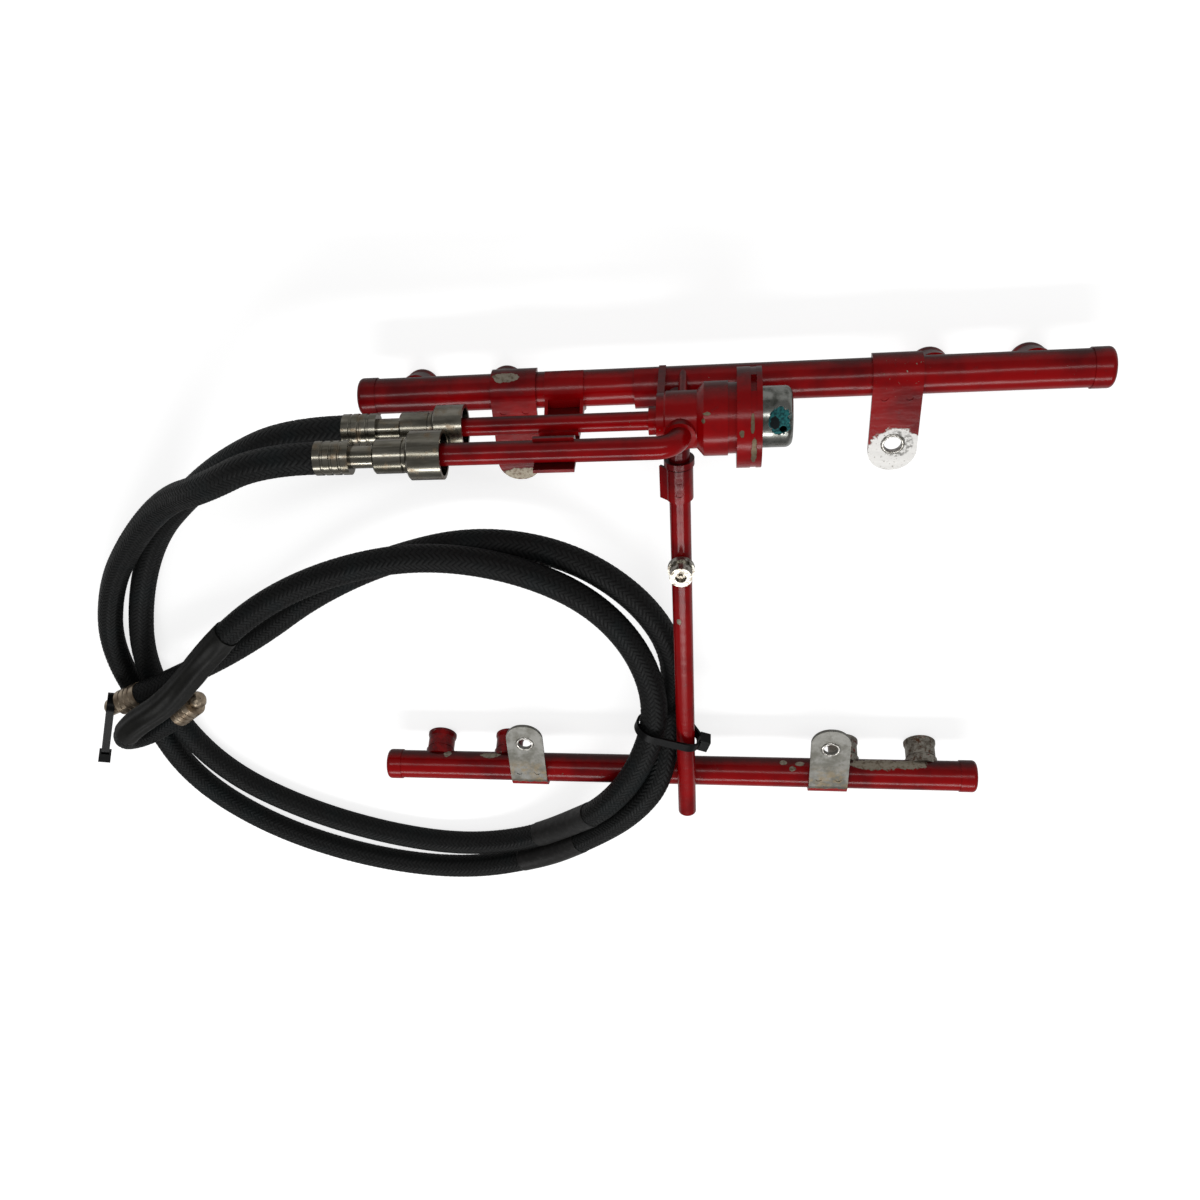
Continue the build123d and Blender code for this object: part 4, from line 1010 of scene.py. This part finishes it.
class FUELRAIL_OT_stage(bpy.types.Operator):
    """Adds the camera, the pale floor and the soft lights"""
    bl_idname = "fuelrail.stage"
    bl_label = "Stage and camera"

    def execute(self, context):
        scene = context.scene
        settings = scene.fuel_rail_stage
        self.add_camera(scene, settings)
        self.add_floor(settings)
        self.add_light(scene)
        scene.view_settings.view_transform = "Standard"
        return {"FINISHED"}

    def add_camera(self, scene, settings):
        lens = bpy.data.cameras.new("photo_camera")
        lens.sensor_width = SENSOR_WIDTH
        lens.lens = settings.lens
        lens.shift_x, lens.shift_y = settings.shift
        lens.clip_start = NEAREST_SEEN
        camera = bpy.data.objects.new("photo_camera", lens)
        scene.collection.objects.link(camera)
        back = Vector(CAMERA_BACK).normalized()
        top = Vector(CAMERA_TOP)
        top = (top - back * top.dot(back)).normalized()
        turn = Matrix((top.cross(back), top, back)).transposed().to_4x4()
        camera.matrix_world = Matrix.Translation(CAMERA_PLACE) @ turn
        scene.camera = camera

    def add_floor(self, settings):
        height = CAD_BOX[0][2] - FLOOR_GAP
        half = settings.floor_size
        shape = bmesh.new()
        corners = ((-half, -half), (half, -half), (half, half), (-half, half))
        shape.faces.new([shape.verts.new((x, y, height)) for x, y in corners])
        floor = plain_piece("floor", shape)
        floor.data.materials.append(pale_floor(settings))

    def add_light(self, scene):
        scene.world = bpy.data.worlds.new("studio")
        scene.world.use_nodes = True
        tree = scene.world.node_tree
        ray = add_node(tree, "ShaderNodeLightPath").outputs
        seen = add_node(tree, "ShaderNodeMapRange", {
            "Value": ray["Is Camera Ray"], "To Min": SKY_ON_OBJECT, "To Max": SKY_IN_VIEW,
        })
        sky = find_node(tree, "BACKGROUND")
        set_socket(tree, sky.inputs["Color"], (1.0, 1.0, 1.0))
        set_socket(tree, sky.inputs["Strength"], seen.outputs["Result"])
        for name, place, size, power in LAMPS:
            lamp = bpy.data.lights.new(name, "AREA")
            lamp.shape = "RECTANGLE"
            lamp.size, lamp.size_y = size
            lamp.energy = power
            holder = bpy.data.objects.new(name, lamp)
            holder.location = place
            view = Vector(LAMP_AIM) - Vector(place)
            holder.rotation_euler = view.to_track_quat("-Z", "Y").to_euler()
            scene.collection.objects.link(holder)


class FUELRAIL_OT_finishes(bpy.types.Operator):
    """Paints the rails and brackets and finishes the metal, nylon and rubber parts"""
    bl_idname = "fuelrail.finishes"
    bl_label = "Paint and metal"

    def execute(self, context):
        paint = context.scene.fuel_rail_paint
        metal = context.scene.fuel_rail_metal
        dress(RED_NODES, red_paint(paint))
        for cup, worn in CUP_WEAR.items():
            dress([cup], worn_cup(paint, worn))
        dress(ZINC_NODES, zinc_plate(paint))
        dress(STEEL_NODES, turned_steel(metal))
        dress(TAN_NODES, tan_steel())
        dress(["regulator_capsule"], capsule_metal(metal))
        dress(["service_valve_body"], valve_paint(paint))
        dress(["service_valve_core", "service_valve_pin"], valve_metal())
        dress(["regulator_seal"], seal_rubber())
        dress(TIE_NODES, black_nylon())
        return {"FINISHED"}


class FUELRAIL_OT_rims(bpy.types.Operator):
    """Adds the pressed rims round the bare brackets' bolt holes"""
    bl_idname = "fuelrail.rims"
    bl_label = "Bolt hole rims"

    def execute(self, context):
        rim_metal = hole_rim()
        for bracket in RIMMED_BRACKETS:
            low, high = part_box(bracket)
            is_near = bracket.startswith("near")
            hole_y = low[1] + HOLE_FROM_TIP if is_near else high[1] - HOLE_FROM_TIP
            centre = Vector(((low[0] + high[0]) / 2, hole_y, high[2]))
            rim = turned_rim(f"{bracket}_hole_rim", centre)
            rim.data.materials.append(rim_metal)
            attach(rim, BODY)
        return {"FINISHED"}


def sleeve_radius(ring, last, angle):
    """A plain sleeve's radius: a faint spiral ripple, and both ends turned in."""
    at_end = ring in (0, last)
    ripple = SLEEVE_RIPPLE * math.sin(3 * angle + ring * 0.1)
    return HOSE_RADIUS + SLEEVE_WALL + ripple - SLEEVE_LIP * at_end


def creased_radius(ring, last, angle):
    """The fold sleeve's radius: lengthwise creases that wander and fade out at both ends."""
    wander = 0.9 * math.sin(4 * math.pi * ring / last)
    crease = math.sin(7 * angle + wander) + 0.6 * math.sin(3 * angle - wander)
    fade = min(1.0, min(ring, last - ring) / CREASE_FADE_RINGS)
    return HOSE_RADIUS + FOLD_WALL + CREASE_DEPTH * crease * fade


class FUELRAIL_OT_hoses(bpy.types.Operator):
    """Braids the two hoses along their routes and adds their sleeves"""
    bl_idname = "fuelrail.hoses"
    bl_label = "Braided hoses"

    def execute(self, context):
        settings = context.scene.fuel_rail_hose
        yarn = braid_yarn(settings)
        tree = braid_tree()
        plastics = {
            "supply_label_sleeve": sleeve_black("label_sleeve", 0.34),
            "return_plain_sleeve": sleeve_black("plain_sleeve", 0.38),
            "return_fold_sleeve": sleeve_black("fold_sleeve", 0.42),
        }
        for name, (route, length, sleeves, ties) in HOSES.items():
            line = hose_line(f"{name}_line", route)
            points = line_points(line)
            pieces = [
                self.add_sleeve(node, stretch(points, *shares, SLEEVE_STEP), plastics[node])
                for node, shares in sleeves.items()
            ]
            give(line, tree, {
                "Radius": HOSE_RADIUS,
                "Ring Spacing": settings.ring_spacing,
                "Sides": settings.sides,
                "Carriers": settings.carriers,
                "Pitch": settings.pitch,
                "Relief": settings.relief,
                "Material": yarn,
            })
            jacket = plain_mesh(line, f"{name}_braided_hose")
            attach(jacket, BODY)
            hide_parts(f"{name}_hose", MOVED_SLEEVES[name])
            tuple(route[0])
        return {"FINISHED"}

    def add_sleeve(self, node, path, plastic):
        last = len(path) - 1
        radius = creased_radius if node == "return_fold_sleeve" else sleeve_radius
        piece = swept(f"{node}_tube", path, lambda ring, angle: radius(ring, last, angle))
        piece.data.materials.append(plastic)
        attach(piece, BODY)
        if node == "return_fold_sleeve":
            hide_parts(node)
        return piece


class FUELRAIL_PT_panel(bpy.types.Panel):
    """Sizes, colours and steps of the fuel rail assembly"""
    bl_idname = "FUELRAIL_PT_panel"
    bl_label = "Fuel rail assembly"
    bl_space_type = "VIEW_3D"
    bl_region_type = "UI"
    bl_category = "Fuel Rail"

    def draw(self, context):
        for holder, group in GROUPS.items():
            box = self.layout.box()
            for key in group.__annotations__:
                box.prop(getattr(context.scene, holder), key)
        for operator in OPERATORS:
            self.layout.operator(operator.bl_idname)


GROUPS = {
    "fuel_rail_stage": FuelRailStage,
    "fuel_rail_paint": FuelRailPaint,
    "fuel_rail_metal": FuelRailMetal,
    "fuel_rail_hose": FuelRailHose,
}
OPERATORS = (FUELRAIL_OT_stage, FUELRAIL_OT_hoses, FUELRAIL_OT_finishes, FUELRAIL_OT_rims)


def register():
    for group in GROUPS.values():
        bpy.utils.register_class(group)
    for name, group in GROUPS.items():
        setattr(bpy.types.Scene, name, PointerProperty(type=group))
    for operator in OPERATORS:
        bpy.utils.register_class(operator)
    bpy.utils.register_class(FUELRAIL_PT_panel)


def unregister():
    bpy.utils.unregister_class(FUELRAIL_PT_panel)
    for operator in reversed(OPERATORS):
        bpy.utils.unregister_class(operator)
    for name, group in reversed(GROUPS.items()):
        delattr(bpy.types.Scene, name)
        bpy.utils.unregister_class(group)


def main():
    register()
    bpy.ops.fuelrail.stage()
    bpy.ops.fuelrail.hoses()
    bpy.ops.fuelrail.finishes()
    bpy.ops.fuelrail.rims()


if __name__ == "__main__":
    main()
